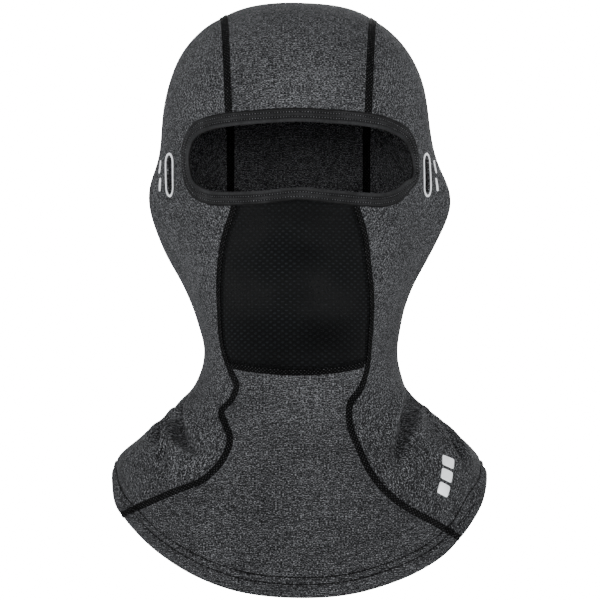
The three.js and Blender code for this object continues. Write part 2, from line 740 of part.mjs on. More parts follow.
function addLabel() {
  const frame = patchFrame(fromAxis(Math.PI, LABEL.level * HEIGHT), 90);
  const high = -FABRIC - GAP_INSIDE;
  add('care_label', patch(frame, LABEL.height, LABEL.width, high - LABEL.thick, high, 6), 'label');
}

addPanels();
addLongSeams();
addChinSeam();
addBinding();
addHemStitches();
for (const [side, frame] of Object.entries(slotFrames)) {
  addSlotTrim(side, frame);
  addEarMarks(side);
}
addShoulderMarks();
addLabel();

export default balaclava;
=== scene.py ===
import math

import bpy
import numpy as np
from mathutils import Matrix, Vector
from mathutils.bvhtree import BVHTree
from mathutils.kdtree import KDTree


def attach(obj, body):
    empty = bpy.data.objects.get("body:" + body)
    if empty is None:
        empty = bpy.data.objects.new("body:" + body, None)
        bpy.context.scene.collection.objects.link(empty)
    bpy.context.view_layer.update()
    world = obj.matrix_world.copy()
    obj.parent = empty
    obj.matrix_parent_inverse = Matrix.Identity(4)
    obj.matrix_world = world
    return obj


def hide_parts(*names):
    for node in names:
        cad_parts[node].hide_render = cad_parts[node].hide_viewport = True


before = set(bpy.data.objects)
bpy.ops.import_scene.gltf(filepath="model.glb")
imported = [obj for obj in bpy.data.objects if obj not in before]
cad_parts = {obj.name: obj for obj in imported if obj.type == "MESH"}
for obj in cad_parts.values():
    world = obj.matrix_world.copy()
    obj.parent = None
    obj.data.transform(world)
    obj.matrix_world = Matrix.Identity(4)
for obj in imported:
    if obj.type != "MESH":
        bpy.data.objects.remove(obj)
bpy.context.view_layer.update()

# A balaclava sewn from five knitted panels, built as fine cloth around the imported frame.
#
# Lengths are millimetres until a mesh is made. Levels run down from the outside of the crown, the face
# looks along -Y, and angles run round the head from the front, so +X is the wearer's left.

MM = 0.001

# ---- the same sizes as the solids ----
FABRIC = 1.4
DOME_DROP, DOME_POWER, SQUARENESS = 90, 2.4, 0.032
STATIONS = np.array([  # level, half width, depth to the front, depth to the back
    (-90, 88.5, 97, 99), (-115, 87.5, 98, 98), (-140, 85.5, 98, 91), (-165, 82, 99, 80),
    (-190, 75, 100, 70), (-212, 68.5, 98, 64), (-234, 64, 82, 61), (-256, 70, 71, 64),
    (-272, 83, 74, 72), (-289, 105, 80, 80), (-305, 122, 87, 87), (-321, 126.8, 92, 91),
    (-350, 127.5, 97, 95), (-430, 128, 102, 98),
], float)
HALF, FRONT, BACK = 1, 2, 3
EAR = {"out": 14.5, "level": -136, "back": 8, "tall": 22, "deep": 24}
NOSE = {"out": 15, "level": -157, "wide": 15, "above": 20, "below": 11}
NECK_LEVEL = -234
HEM_SIDE, HEM_FRONT_DROP, HEM_BACK_DROP, HEM_POWER = -320, 73, 45, 1.35
FOLD = 16
HEM_ROWS = (9, 13.5)
SEAM_WIDTH, CROWN_SEAM_WIDTH = 4.6, 5.6
TOPSTITCH_ROWS = (0.9, 2.1)  # beyond the edge of a seam, on the mouth panel
CROWN_HALF, CROWN_FLARE, FOREHEAD_TURN = 48, 4, -8
CROWN_TURNS, CROWN_HALVES = (-8, 90, 180), (44.4, 51, 48)  # degrees from the forehead over the top
FRONT_SEAM_RIGHT = [
    (-42, -112), (-42, -137), (-49, -160), (-52, -183), (-52, -207), (-50, -231), (-45, -246),
    (-41, -256), (-44, -265), (-51, -273), (-48, -282), (-45, -290), (-48, -301), (-61, -316),
    (-84, -326), (-117, -342), (-122, -346),
]
FRONT_SEAM_LEFT = [
    (37, -112), (38, -138), (43, -155), (46, -178), (48, -199), (47, -226), (45, -246), (41, -258),
    (34, -268), (34, -282), (39, -295), (49, -315), (66, -332), (90, -346), (108, -358), (116, -366),
]
CHIN_SEAM = [(-46.5, -242), (-32, -244.8), (0, -247), (31, -244.6), (46.3, -241)]
FRONT_SEAMS = {
    "front_seam_left": FRONT_SEAM_LEFT, "front_seam_right": FRONT_SEAM_RIGHT, "chin_seam": CHIN_SEAM,
}
EYE_EDGE = [
    (0, -83), (-24, -84), (-44, -85.5), (-58, -87.5), (-68, -92), (-72.5, -101), (-72.5, -112),
    (-69, -122), (-60, -127.5), (-46, -129), (-25, -128.5), (0, -126.5), (22, -128), (42, -129.5),
    (56, -129.5), (67, -125), (73, -116), (73, -106), (69, -95), (58, -88.5), (42, -85.5), (22, -84),
]
EYE_CENTRE, EYE_REACH = (0, -70, -106), 40  # the reach is more than half the opening's height
BINDING, BINDING_LAP = 8.8, 1.6
BINDING_ROWS = (3.0, 6.2)
SLOT = {"level": -116, "side": 69, "width": 7.8, "height": 24.4, "lean": 2}
SLOT_TAPER, SLOT_REACH = 0.16, 24  # wider at the top, narrower at the foot; nothing of it lies further off
TRIM = {"margin": 1.1, "line": 1.55}
EAR_MARK = {"side": 79, "lean": 2, "level": -116, "width": 2.6, "height": 9, "apart": 12}
SHOULDER_MARK = {"x": 98, "level": -315, "length": 8, "width": 9, "pitch": 10.4, "lean": 64.5}
LABEL = {"level": -168, "width": 22, "height": 24, "thick": 0.5}

# ---- the cloth ----
CLOTH = 1.2  # thickness that shows
HEM_RADIUS = 1.45  # of the rolled edge
COLUMNS = 460
DOME_ROWS, BODY_ROWS, FOLD_ROWS, ROLL_ROWS, INNER_ROWS = 60, 158, 16, 6, 12
ABOVE = 12  # height from which a point is dropped onto the cloth
FAR = 300  # outside of everything
SEAM_TUCK, SEAM_GAP = 2.2, 0.4  # how far a seam runs under the tape, and stops from another seam
INSIDE_SEAM = 1.12  # an inner cover's width over the outer one's

# Soft folds: points as x and level, depth (a ridge is negative), half width, and side.
FOLDS = [
    ([(76, -264), (72, -280), (67, -293), (63, -303)], 12.5, 3.8, "front"),
    ([(72, -318), (80, -304), (92, -293)], -2.6, 5.0, "front"),
    ([(90, -278), (99, -287), (105, -295), (110, -305)], 9.0, 3.8, "front"),
    ([(80, -272), (88, -279)], 4.0, 2.8, "front"),
    ([(-77, -267), (-81, -276), (-80, -286), (-74, -293), (-64, -298)], 14.0, 3.4, "front"),
    ([(-86, -277), (-91, -284), (-94, -292)], 11.0, 3.4, "front"),
    ([(-88, -296), (-92, -306)], 4.0, 3.0, "front"),
    ([(-112, -303), (-100, -308), (-80, -310)], 5.0, 2.5, "front"),
    ([(-82, -332), (-70, -330), (-56, -323)], 4.4, 2.4, "front"),
    ([(-22, -300), (4, -304), (30, -311)], -1.2, 9, "front"),
    ([(73.5, -112), (72.5, -103), (69, -95), (62, -89)], 3.6, 5.5, "front"),
    ([(-70, -236), (-40, -243), (0, -246), (40, -243), (70, -236)], 2.4, 7, "back"),
    ([(-66, -262), (-30, -271), (6, -273)], 1.8, 5, "back"),
    ([(10, -266), (40, -268), (72, -256)], 1.6, 5, "back"),
    ([(-96, -296), (-62, -318), (-30, -330)], -1.6, 9, "back"),
    ([(34, -330), (66, -318), (98, -296)], -1.6, 9, "back"),
]
# Where the cloth stands a little further out: centre, radius and height.
SWELLS = [
    ((-32, 0, -6), 28, 1.6), ((32, 0, -6), 28, 1.3), ((-70, 0, -36), 45, 3.2),
    ((-88, 0, -82), 30, 2.4), ((-100, 0, -122), 14, 1.8), ((100, 0, -128), 18, 2.4),
    ((-80, 0, -172), 30, 3.3), ((80, 0, -168), 28, 3.1), ((64, 0, -232), 22, 3.0),
]
HEM_SAG = [(42, 20, 3.6), (-22, 14, 1.2), (16, 12, 1.0)]  # degrees from the front, spread and drop
SEAM_PULL = {"depth": 0.55, "width": 4.5, "pucker": 0.14, "pitch": 8.5}
UNEVEN = {"head": 0.22, "neck": 0.8, "waves": 14, "seed": 7}


# ---- outside surface ----

def hermite(t, start, end, leaving, arriving):
    """A cubic from start to end, with its slopes at both."""
    value = (2 * t**3 - 3 * t**2 + 1) * start + (t**3 - 2 * t**2 + t) * leaving
    return value + (3 * t**2 - 2 * t**3) * end + (t**3 - t**2) * arriving


def station_value(level, column):
    """A half width or depth at a level, run smoothly through the stations."""
    levels, values = STATIONS[:, 0], STATIONS[:, column]
    slope = np.zeros(len(levels))
    slope[1:-1] = (values[2:] - values[:-2]) / (levels[2:] - levels[:-2])
    slope[-1] = (values[-1] - values[-2]) / (levels[-1] - levels[-2])
    i = np.clip(np.searchsorted(-levels, -level, side="right") - 1, 0, len(levels) - 2)
    span = levels[i + 1] - levels[i]
    t = np.clip((level - levels[i]) / span, 0, 1)
    return hermite(t, values[i], values[i + 1], span * slope[i], span * slope[i + 1])


def hem_level(angle):
    """Level of the hem's edge: low in front and behind, high at the sides."""
    c = np.cos(angle)
    drop = np.where(c > 0, HEM_FRONT_DROP, HEM_BACK_DROP)
    sag = sum(low * bell((np.degrees(angle) - at) / spread) for at, spread, low in HEM_SAG)
    return HEM_SIDE - drop * np.abs(c) ** HEM_POWER - sag


def ear_relief(x, y, level):
    up = ((level - EAR["level"]) / EAR["tall"]) ** 2 / 2
    along = ((y - EAR["back"]) / EAR["deep"]) ** 2 / 2
    return np.sign(x) * EAR["out"] * np.clip((np.abs(x) - 40) / 30, 0, 1) * np.exp(-up - along)


def nose_relief(x, level):
    tall = np.where(level > NOSE["level"], NOSE["above"], NOSE["below"])
    return NOSE["out"] * np.exp(-((x / NOSE["wide"]) ** 2) / 2 - ((level - NOSE["level"]) / tall) ** 2 / 2)


def surface(angle, t):
    """Points of the outside. t runs 0..1 over the dome, 1..2 to the hem's fold and 2..3 to its edge."""
    angle, t = np.broadcast_arrays(np.asarray(angle, float), np.asarray(t, float))
    turn = np.minimum(t, 1) * math.pi / 2
    power = 2 / DOME_POWER
    shrink = np.sin(turn) ** power
    fold_top = hem_level(angle) + FOLD
    level = -DOME_DROP * (1 - np.maximum(0, np.cos(turn)) ** power)
    level = np.where(t > 1, -DOME_DROP + (fold_top + DOME_DROP) * (np.minimum(t, 2) - 1), level)
    level = np.where(t > 2, fold_top - FOLD * (t - 2), level)
    bulge = 1 + SQUARENESS * np.sin(2 * angle) ** 2
    depth = np.where(np.cos(angle) > 0, station_value(level, FRONT), station_value(level, BACK))
    x = station_value(level, HALF) * shrink * bulge * np.sin(angle)
    y = -depth * shrink * bulge * np.cos(angle)
    nose = np.where(y < 0, nose_relief(x, level), 0)
    return np.stack([x + ear_relief(x, y, level), y - nose, level], axis=-1)


def bell(x):
    """1 at 0, falling off to both sides."""
    return np.exp(-(x**2))


def unit(v):
    return v / np.maximum(np.linalg.norm(v, axis=-1, keepdims=True), 1e-9)


def surface_frame(angle, t):
    """Outward normals, and directions down the surface."""
    step = 1e-3
    across = surface(angle + step, t) - surface(angle - step, t)
    down = surface(angle, t + step) - surface(angle, np.maximum(t - step, 1e-4))
    return unit(np.cross(down, across)), unit(down)


def rim_slope(angle, t):
    """How steeply a line of constant t rises as it runs round the head."""
    step = 0.02
    change = surface(angle + step, t) - surface(angle - step, t)
    return change[..., 2] / np.linalg.norm(change[..., :2], axis=-1)


# ---- curves and rays ----

def catmull(controls, closed=False, steps=24):
    """A centripetal Catmull-Rom curve through control points."""
    p = np.array(controls, float)
    if closed:
        p = np.vstack([p[-1], p, p[:2]])
    else:
        p = np.vstack([2 * p[0] - p[1], p, 2 * p[-1] - p[-2]])
    u = np.linspace(0, 1, steps, endpoint=False)[:, None]
    pieces = []
    for p0, p1, p2, p3 in zip(p, p[1:], p[2:], p[3:]):
        d0, d1, d2 = (math.sqrt(np.linalg.norm(b - a)) for a, b in ((p0, p1), (p1, p2), (p2, p3)))
        m1 = ((p1 - p0) / d0 - (p2 - p0) / (d0 + d1) + (p2 - p1) / d1) * d1
        m2 = ((p2 - p1) / d1 - (p3 - p1) / (d1 + d2) + (p3 - p2) / d2) * d1
        pieces.append(hermite(u, p1, p2, m1, m2))
    if not closed:
        pieces.append(p[-2][None])
    return np.vstack(pieces)


def along(points):
    """Distance along a line of points."""
    return np.concatenate([[0], np.cumsum(np.linalg.norm(np.diff(points, axis=0), axis=1))])


def between(at, known, rows):
    """Rows of numbers read off at distances between the known ones."""
    return np.stack([np.interp(at, known, column) for column in rows.T], axis=1)


def respaced(points, step, closed=False):
    """The same line with points an even step apart."""
    line = np.vstack([points, points[:1]]) if closed else points
    far = along(line)
    count = max(2, round(far[-1] / step))
    at = np.linspace(0, far[-1], count + 1)[: count if closed else None]
    return between(at, far, line)


def drop(trees, starts, directions, reach=None):
    """Where rays first meet any of the trees: points and normals. A ray that misses is left out, or, like
    one that meets nothing near `reach`, stops at `reach`."""
    starts = np.asarray(starts, float)
    directions = np.broadcast_to(directions, starts.shape)
    points, normals = [], []
    for start, direction in zip(starts, directions):
        start, direction = Vector(start), Vector(direction)
        limit = 2 * reach if reach else 10 * FAR
        hits = [hit for hit in (tree.ray_cast(start, direction, limit) for tree in trees) if hit[0]]
        if hits:
            nearest_hit = min(hits, key=lambda hit: hit[3])
            points.append(nearest_hit[0])
            normals.append(nearest_hit[1])
        elif reach is not None:
            points.append(start + direction * reach)
            normals.append(-direction)
    return np.array(points), np.array(normals)


def facing(found, y):
    """The hits whose cloth faces the side that the rays came from."""
    points, normals = found
    keep = normals[:, 1] * y > -0.2
    return points[keep], normals[keep]


def smoothed(rows, reach, closed):
    """A running mean over `reach` rows to each side."""
    if len(rows) <= 2 * reach:
        return rows
    padded = np.pad(rows, ((reach, reach), (0, 0)), mode="wrap" if closed else "edge")
    kernel = np.ones(2 * reach + 1) / (2 * reach + 1)
    return np.stack([np.convolve(column, kernel, "valid") for column in padded.T], axis=1)


class Path:
    """A line on the cloth with its sideways and outward directions."""

    def __init__(self, points, normals, closed=False, soften=4):
        self.points, self.closed = points, closed
        before = np.roll(points, 1, axis=0)
        after = np.roll(points, -1, axis=0)
        if not closed:
            before[0], after[-1] = points[0], points[-1]
        self.tangents = unit(smoothed(unit(after - before), soften // 2, closed))
        normals = unit(smoothed(normals, soften, closed))
        self.sides = unit(np.cross(self.tangents, normals))
        self.normals = np.cross(self.sides, self.tangents)
        self.along = along(points)

    def part(self, keep):
        """The line from the first spot that passes a test to the last."""
        kept = np.flatnonzero(keep)
        cut = slice(kept[0], kept[-1] + 1)
        return Path(self.points[cut], self.normals[cut])

    def laid(self, trees, across):
        """Points on the cloth beside the path, one column for each distance across."""
        starts = self.points[:, None] + self.sides[:, None] * across[..., None]
        starts = starts + self.normals[:, None] * ABOVE
        directions = np.broadcast_to(-self.normals[:, None], starts.shape)
        return drop(trees, starts.reshape(-1, 3), directions.reshape(-1, 3), ABOVE)[0].reshape(starts.shape)


# ---- the skin: one fine grid over the whole hood ----

def grid_rows():
    """For each row: t, how far it has rolled round the edge in degrees, and 1 once it is inside."""
    dome = [(i / DOME_ROWS, 0) for i in range(1, DOME_ROWS + 1)]
    body = [(1 + i / BODY_ROWS, 0) for i in range(1, BODY_ROWS + 1)]
    edge = 3 - HEM_RADIUS / FOLD
    fold = [(2 + (edge - 2) * i / FOLD_ROWS, 0) for i in range(1, FOLD_ROWS + 1)]
    roll = [(edge, 180 * i / ROLL_ROWS) for i in range(1, ROLL_ROWS + 1)]
    inner = [(edge - (edge - 2.05) * i / INNER_ROWS, 180) for i in range(1, INNER_ROWS + 1)]
    return np.array(dome + body + fold + roll + inner)


def tree_of(points, faces):
    return BVHTree.FromPolygons(points.tolist(), faces)


def quads(rings, length, wrap=False):
    """Faces between rings of points that close on themselves."""
    r, k = np.meshgrid(np.arange(rings if wrap else rings - 1), np.arange(length), indexing="ij")
    s, k2 = (r + 1) % rings, (k + 1) % length
    corners = [r * length + k, r * length + k2, s * length + k2, s * length + k]
    return np.stack(corners, axis=-1).reshape(-1, 4)


def grid_faces(rows):
    """Triangles of the skin's grid, with the pole as the last point."""
    faces, top = quads(rows, COLUMNS), np.arange(COLUMNS)
    cap = np.stack([np.full(COLUMNS, rows * COLUMNS), top, (top + 1) % COLUMNS], axis=1)
    return np.vstack([faces[:, [0, 3, 2]], faces[:, [0, 2, 1]], cap])


ANGLES = np.linspace(-math.pi, math.pi, COLUMNS, endpoint=False)
ROWS = grid_rows()
T = np.broadcast_to(ROWS[:, :1], (len(ROWS), COLUMNS))
BASE = surface(ANGLES[None], T)
NORMALS, DOWN = surface_frame(ANGLES[None], T)
FACES = grid_faces(len(ROWS))
BASE_TREE = tree_of(np.vstack([BASE.reshape(-1, 3), [[0, 0, 0]]]), FACES.tolist())


def from_front(points, tree=None, y=-FAR):
    """Drops points given as x and level onto the front, or onto the back."""
    points = np.asarray(points, float)
    starts = np.stack([points[:, 0], np.full(len(points), y), points[:, 1]], axis=1)
    return drop([tree or BASE_TREE], starts, (0, -np.sign(y), 0))


def eased(t):
    """0 to 1, level at both ends."""
    t = np.clip(t, 0, 1)
    return t * t * (3 - 2 * t)


def flare(level):
    """Distance of the crown seams from the middle of the back; they part below the neck."""
    return CROWN_HALF + CROWN_FLARE * eased((level - NECK_LEVEL) / (HEM_SIDE - NECK_LEVEL))


def over_crown(points):
    """The turn from the forehead over the crown, and which points lie below it on the back."""
    turn = np.arctan2(points[:, 2] + DOME_DROP, -points[:, 1])
    return turn, (points[:, 1] > 0) & (points[:, 2] < -DOME_DROP)


def crown_half(points):
    """Distance of the crown seams from the middle: they draw together down the forehead."""
    turn, low_back = over_crown(points)
    over = np.interp(np.degrees(turn), CROWN_TURNS, CROWN_HALVES)
    return np.where(low_back, flare(points[:, 2]), over)


def crown_line(side, step=0.5):
    """Rays' starts and directions for a crown seam, forehead to back hem."""
    turns = np.radians(np.arange(FOREHEAD_TURN, 180, step / 1.7))
    away = np.stack([0 * turns, -np.cos(turns), np.sin(turns)], axis=1)
    half = np.interp(np.degrees(turns), CROWN_TURNS, CROWN_HALVES)
    over = np.stack([side * half, 0 * half, 0 * half - DOME_DROP], axis=1)
    levels = np.arange(-DOME_DROP, HEM_SIDE - HEM_BACK_DROP - 2, -step)
    back = np.stack([side * flare(levels), 0 * levels, levels], axis=1)
    away = np.vstack([away, np.tile([0, 1, 0], (len(levels), 1))])
    return np.vstack([over, back]) + away * FAR, -away


def seam_points(tree, step):
    """The five seams on a tree: points and normals. A ray that passes under the back hem is left out."""
    found = {}
    for name, side in (("crown_seam_left", 1), ("crown_seam_right", -1)):
        points, normals = drop([tree], *crown_line(side, step))
        on_hood = (points[:, 2] > NECK_LEVEL) | (points[:, 1] > 0)
        found[name] = points[on_hood], normals[on_hood]
    for name, controls in FRONT_SEAMS.items():
        points, _ = facing(from_front(respaced(catmull(controls), step), tree), -1)
        points = respaced(points, step)
        found[name] = facing(from_front(points[:, [0, 2]], tree), -1)
    return found


def kd_tree(points):
    tree = KDTree(len(points))
    for i, point in enumerate(points):
        tree.insert(point, i)
    tree.balance()
    return tree


def nearest(points, line, reach):
    """Distance to a line and the place along it, for the points within reach of it."""
    low, high = line.min(axis=0) - reach, line.max(axis=0) + reach
    near = np.flatnonzero(((points > low) & (points < high)).all(axis=1))
    tree, place = kd_tree(line), along(line)
    found = [tree.find(points[i]) for i in near]
    distance = np.array([hit[2] for hit in found])
    return near, distance, place[[hit[1] for hit in found]]


def fold_relief(points):
    """Creases and soft ridges, each with a slight swell beside it."""
    height = np.zeros(len(points))
    for controls, depth, width, side in FOLDS:
        y = -FAR if side == "front" else FAR
        line, _ = from_front(respaced(catmull(controls), 0.5), y=y)
        line = respaced(smoothed(line, 5, False), 0.7)
        near, distance, place = nearest(points, line, 5 * width)
        taper = np.sin(np.pi * np.clip((place + width) / (place.max() + 2 * width), 0, 1)) ** 0.7
        hollow, swell = bell(distance / width), 0.35 * bell((distance - 2.2 * width) / (1.1 * width))
        height[near] -= depth * taper * (hollow - swell)
    return softened(height.reshape(T.shape)).ravel()


def softened(grid, passes=2):
    """The grid blurred a little, round the head and up and down."""
    for _ in range(passes):
        grid = (np.roll(grid, 1, axis=1) + 2 * grid + np.roll(grid, -1, axis=1)) / 4
        tall = np.pad(grid, ((1, 1), (0, 0)), mode="edge")
        grid = (tall[:-2] + 2 * grid + tall[2:]) / 4
    return grid


def swell_relief(points):
    return sum(high * np.exp(-(((points - centre) / radius) ** 2).sum(axis=1))
               for centre, radius, high in SWELLS)


def seam_relief(points, seams):
    """The cloth is drawn in along each seam, with small puckers."""
    height = np.zeros(len(points))
    pull = SEAM_PULL
    for line, _ in seams.values():
        near, distance, place = nearest(points, line, 3.5 * pull["width"])
        hollow = bell(distance / pull["width"])
        wave = np.sin(place * 2 * np.pi / pull["pitch"] + 3 * np.sin(place / 31))
        beside = (distance / pull["width"]) * np.exp(-((distance / pull["width"]) ** 2) / 1.5)
        height[near] += pull["pucker"] * wave * beside - pull["depth"] * hollow
    return height


def uneven_relief(points):
    """Slight waves, stronger where the cloth hangs free below the head."""
    rng = np.random.default_rng(UNEVEN["seed"])
    height = np.zeros(len(points))
    for _ in range(UNEVEN["waves"]):
        direction = unit(rng.normal(size=3))
        length = rng.uniform(24, 80)
        height += np.sin(points @ direction * 2 * np.pi / length + rng.uniform(0, 6.3)) * length / 60
    height /= math.sqrt(UNEVEN["waves"] / 2)
    free = 1 / (1 + np.exp((points[:, 2] - NECK_LEVEL) / 14))
    return height * (UNEVEN["head"] + (UNEVEN["neck"] - UNEVEN["head"]) * free)


def hem_relief(angle, t):
    """Grooves at the two stitch rows, and the soft doubled cloth between and below them."""
    inset = (3 - t) * FOLD / np.hypot(1, rim_slope(angle, t))
    grooves = sum(bell((inset - row) / 0.8) for row in HEM_ROWS)
    between = bell((inset - sum(HEM_ROWS) / 2) / 1.3)
    edge = bell((inset - 4.6) / 2.6)
    return np.where(t > 1.9, 0.5 * between + 0.7 * edge - 1.3 * grooves, 0)


def make_skin():
    """The outside of the cloth, rolled round the hem's edge and up inside."""
    flat = BASE.reshape(-1, 3)
    seams = seam_points(BASE_TREE, 1.0)
    height = fold_relief(flat) + swell_relief(flat) + seam_relief(flat, seams) + uneven_relief(flat)
    height = height.reshape(T.shape) + hem_relief(ANGLES[None], T)
    rolled = np.radians(ROWS[:, 1])[:, None, None]
    skin = BASE + NORMALS * (height[..., None] - HEM_RADIUS * (1 - np.cos(rolled)))
    skin = skin + DOWN * HEM_RADIUS * np.sin(rolled)
    crown = skin[0].mean(axis=0) + [0, 0, 0.1]
    return np.vstack([skin.reshape(-1, 3), [crown]])


# ---- cutting the skin into panels ----

def line_x(controls):
    """x of a front seam as a function of level."""
    line = catmull(controls)
    return lambda level: np.interp(-level, -line[:, 1], line[:, 0])


RIGHT_X, LEFT_X = line_x(FRONT_SEAM_RIGHT), line_x(FRONT_SEAM_LEFT)
CHIN_LINE = catmull(CHIN_SEAM)


def chin_level(x):
    return np.interp(x, CHIN_LINE[:, 0], CHIN_LINE[:, 1])


def outline_field(x, level, outline):
    """Signed distance to a closed outline in x and level, negative inside."""
    best = np.full(len(x), np.inf)
    inside = np.zeros(len(x), bool)
    for (x0, z0), (x1, z1) in zip(outline, np.roll(outline, -1, axis=0)):
        dx, dz = x1 - x0, z1 - z0
        part = np.clip(((x - x0) * dx + (level - z0) * dz) / (dx * dx + dz * dz), 0, 1)
        best = np.minimum(best, np.hypot(x - x0 - part * dx, level - z0 - part * dz))
        crosses = (z0 > level) != (z1 > level)
        if dz:
            inside ^= crosses & (x < x0 + (level - z0) * dx / dz)
    return np.where(inside, -best, best)


def widened(up):
    """A slot's width at a height above its middle, over its mean width."""
    return 1 + SLOT_TAPER * np.clip(up / (SLOT["height"] / 2), -1.2, 1.2)


def stadium_field(points, place):
    """Distance to a slot's edge, negative inside."""
    centre, u, v = place
    up = (points - centre) @ v
    across = (points - centre) @ u / widened(up)
    reach = (SLOT["height"] - SLOT["width"]) / 2
    return np.hypot(across, np.maximum(np.abs(up) - reach, 0)) - SLOT["width"] / 2


def cut_fields(outline, slot_places):
    """Each cut as a test for the points it can move and a field that is zero on it."""
    eye_level = EYE_CENTRE[2]

    def front_half(p):
        return (p[:, 1] < 0) & (p[:, 2] < eye_level)

    def round_eye(p):
        return (p[:, 1] < 0) & (np.abs(p[:, 2] - eye_level) < EYE_REACH)

    def below_mouth(p):
        return front_half(p) & (p[:, 0] > RIGHT_X(p[:, 2]) - 1) & (p[:, 0] < LEFT_X(p[:, 2]) + 1)

    cuts = [(round_eye, lambda p: outline_field(p[:, 0], p[:, 2], outline))]
    for place in slot_places:
        cuts.append((lambda p, c=place[0]: np.linalg.norm(p - c, axis=1) < SLOT_REACH,
                     lambda p, place=place: stadium_field(p, place)))
    cuts.append((lambda p: ~front_half(p), lambda p: np.abs(p[:, 0]) - crown_half(p)))
    cuts.append((front_half, lambda p: p[:, 0] - RIGHT_X(p[:, 2])))
    cuts.append((front_half, lambda p: p[:, 0] - LEFT_X(p[:, 2])))
    cuts.append((below_mouth, lambda p: p[:, 2] - chin_level(p[:, 0])))
    return cuts


def snapped(points, cuts):
    """Moves grid points onto the cuts, so that every cut runs along edges."""
    points = points.copy()
    pairs = np.vstack([FACES[:, [0, 1]], FACES[:, [1, 2]], FACES[:, [2, 0]]])
    pairs = np.unique(np.sort(pairs, axis=1), axis=0)
    moved = np.zeros(len(points), bool)
    for applies, field in cuts:
        where = np.flatnonzero(applies(points))
        value = np.full(len(points), np.nan)
        value[where] = field(points[where])
        a, b = pairs.T
        with np.errstate(invalid="ignore"):
            crossing = value[a] * value[b] < 0
        a, b = a[crossing], b[crossing]
        part = value[a] / (value[a] - value[b])
        swap = (part > 0.5) & ~moved[b] | moved[a]
        a, b, part = np.where(swap, b, a), np.where(swap, a, b), np.where(swap, 1 - part, part)
        order = np.argsort(-part)  # the nearest crossing of a point is written last
        order = order[~moved[a[order]]]
        goal = points[a] + (points[b] - points[a]) * part[:, None]
        points[a[order]] = goal[order]
        moved[a[order]] = True
    return points


def panel_of(p, outline, slot_places):
    """The name of the panel that each point lies in, or '' in an opening."""
    x, y, level = p.T
    lower_front = (y < 0) & (level < EYE_CENTRE[2])
    side = np.where(x > 0, "side_panel_left", "side_panel_right")
    upper = np.where(np.abs(x) < crown_half(p), "centre_panel", side)
    middle = np.where(level > chin_level(x), "mouth_panel", "bib_panel")
    in_front = (x > RIGHT_X(level)) & (x < LEFT_X(level))
    name = np.where(lower_front, np.where(in_front, middle, side), upper).astype("U20")
    eye = (y < 0) & (np.abs(level - EYE_CENTRE[2]) < EYE_REACH)
    inside = outline_field(x[eye], level[eye], outline) < 0
    name[np.flatnonzero(eye)[inside]] = ""
    for place in slot_places:
        near = np.linalg.norm(p - place[0], axis=1) < SLOT_REACH
        hole = near & (stadium_field(p, place) < 0)
        name[hole] = ""
    return name


# ---- meshes ----

def placed(name, data):
    """A new object in the scene."""
    item = bpy.data.objects.new(name, data)
    bpy.context.scene.collection.objects.link(item)
    return item


def sewn(node, slot, points, faces, materials, weave=None):
    """A smooth-shaded piece from points in millimetres, which stands for a node of the frame."""
    name = f"{node}_sewn"
    mesh = bpy.data.meshes.new(name)
    mesh.from_pydata((np.asarray(points) + [0, 0, FABRIC]) * MM, [], faces)
    mesh.shade_smooth()
    for material in materials:
        mesh.materials.append(material)
    if weave is not None:
        layer = mesh.attributes.new("weave", "FLOAT_VECTOR", "POINT")
        layer.data.foreach_set("vector", np.asarray(weave, np.float32).ravel())
    piece = placed(name, mesh)
    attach(piece, "root")
    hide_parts(node)
    return piece


def outward(points, faces):
    """The faces, turned round if they enclose a negative volume."""
    tris = np.array([f[:3] for f in faces] + [[f[0], f[2], f[3]] for f in faces if len(f) == 4])
    a, b, c = points[tris].transpose(1, 0, 2)
    middle = points.mean(axis=0)
    volume = np.einsum("ij,ij->i", a - middle, np.cross(b - middle, c - middle)).sum()
    return faces if volume > 0 else [face[::-1] for face in faces]


def loft(rings, wrap=False):
    """Closed body from rings of points; open ends are closed with a face each."""
    rings = np.asarray(rings)
    count, length = rings.shape[:2]
    faces = quads(count, length, wrap).tolist()
    if not wrap:
        faces.append(list(range(length))[::-1])
        faces.append([(count - 1) * length + k for k in range(length)])
    points = rings.reshape(-1, 3)
    return points, outward(points, faces)


def joined(bodies):
    """Several bodies as one list of points and faces."""
    points, faces, start = [], [], 0
    for body_points, body_faces in bodies:
        points.append(body_points)
        faces += [[i + start for i in face] for face in body_faces]
        start += len(body_points)
    return np.vstack(points), faces


# ---- materials ----

def add(tree, kind, inputs=(), **settings):
    """A node with its settings and inputs; an input is a number, a colour or another node's output."""
    node = tree.nodes.new(kind)
    for key, value in settings.items():
        setattr(node, key, value)
    for key, value in dict(inputs).items():
        if isinstance(value, bpy.types.NodeSocket):
            tree.links.new(value, node.inputs[key])
        else:
            node.inputs[key].default_value = value
    return node


def calc(tree, operation, *values):
    """A Math node."""
    return add(tree, "ShaderNodeMath", enumerate(values), operation=operation).outputs[0]


def stretched(tree, vector, scale):
    inputs = {0: vector, 1: scale}
    return add(tree, "ShaderNodeVectorMath", inputs, operation="MULTIPLY").outputs[0]


def noise(tree, vector, scale, detail=2.0, roughness=0.5, distortion=0.0):
    """Noise on a vector; a pair as scale is for the two directions of the knit."""
    if isinstance(scale, tuple):
        vector, scale = stretched(tree, vector, (*scale, 1)), 1.0
    inputs = {"Vector": vector, "Scale": scale, "Detail": detail, "Roughness": roughness,
              "Distortion": distortion}
    return add(tree, "ShaderNodeTexNoise", inputs).outputs[0]


def weighted(tree, *pairs):
    """The sum of values times weights."""
    total = calc(tree, "MULTIPLY", *pairs[0])
    for value, weight in pairs[1:]:
        total = calc(tree, "MULTIPLY_ADD", value, weight, total)
    return total


COOL, BLUISH = (0.97, 0.99, 1.04), (0.8, 0.97, 1.12)


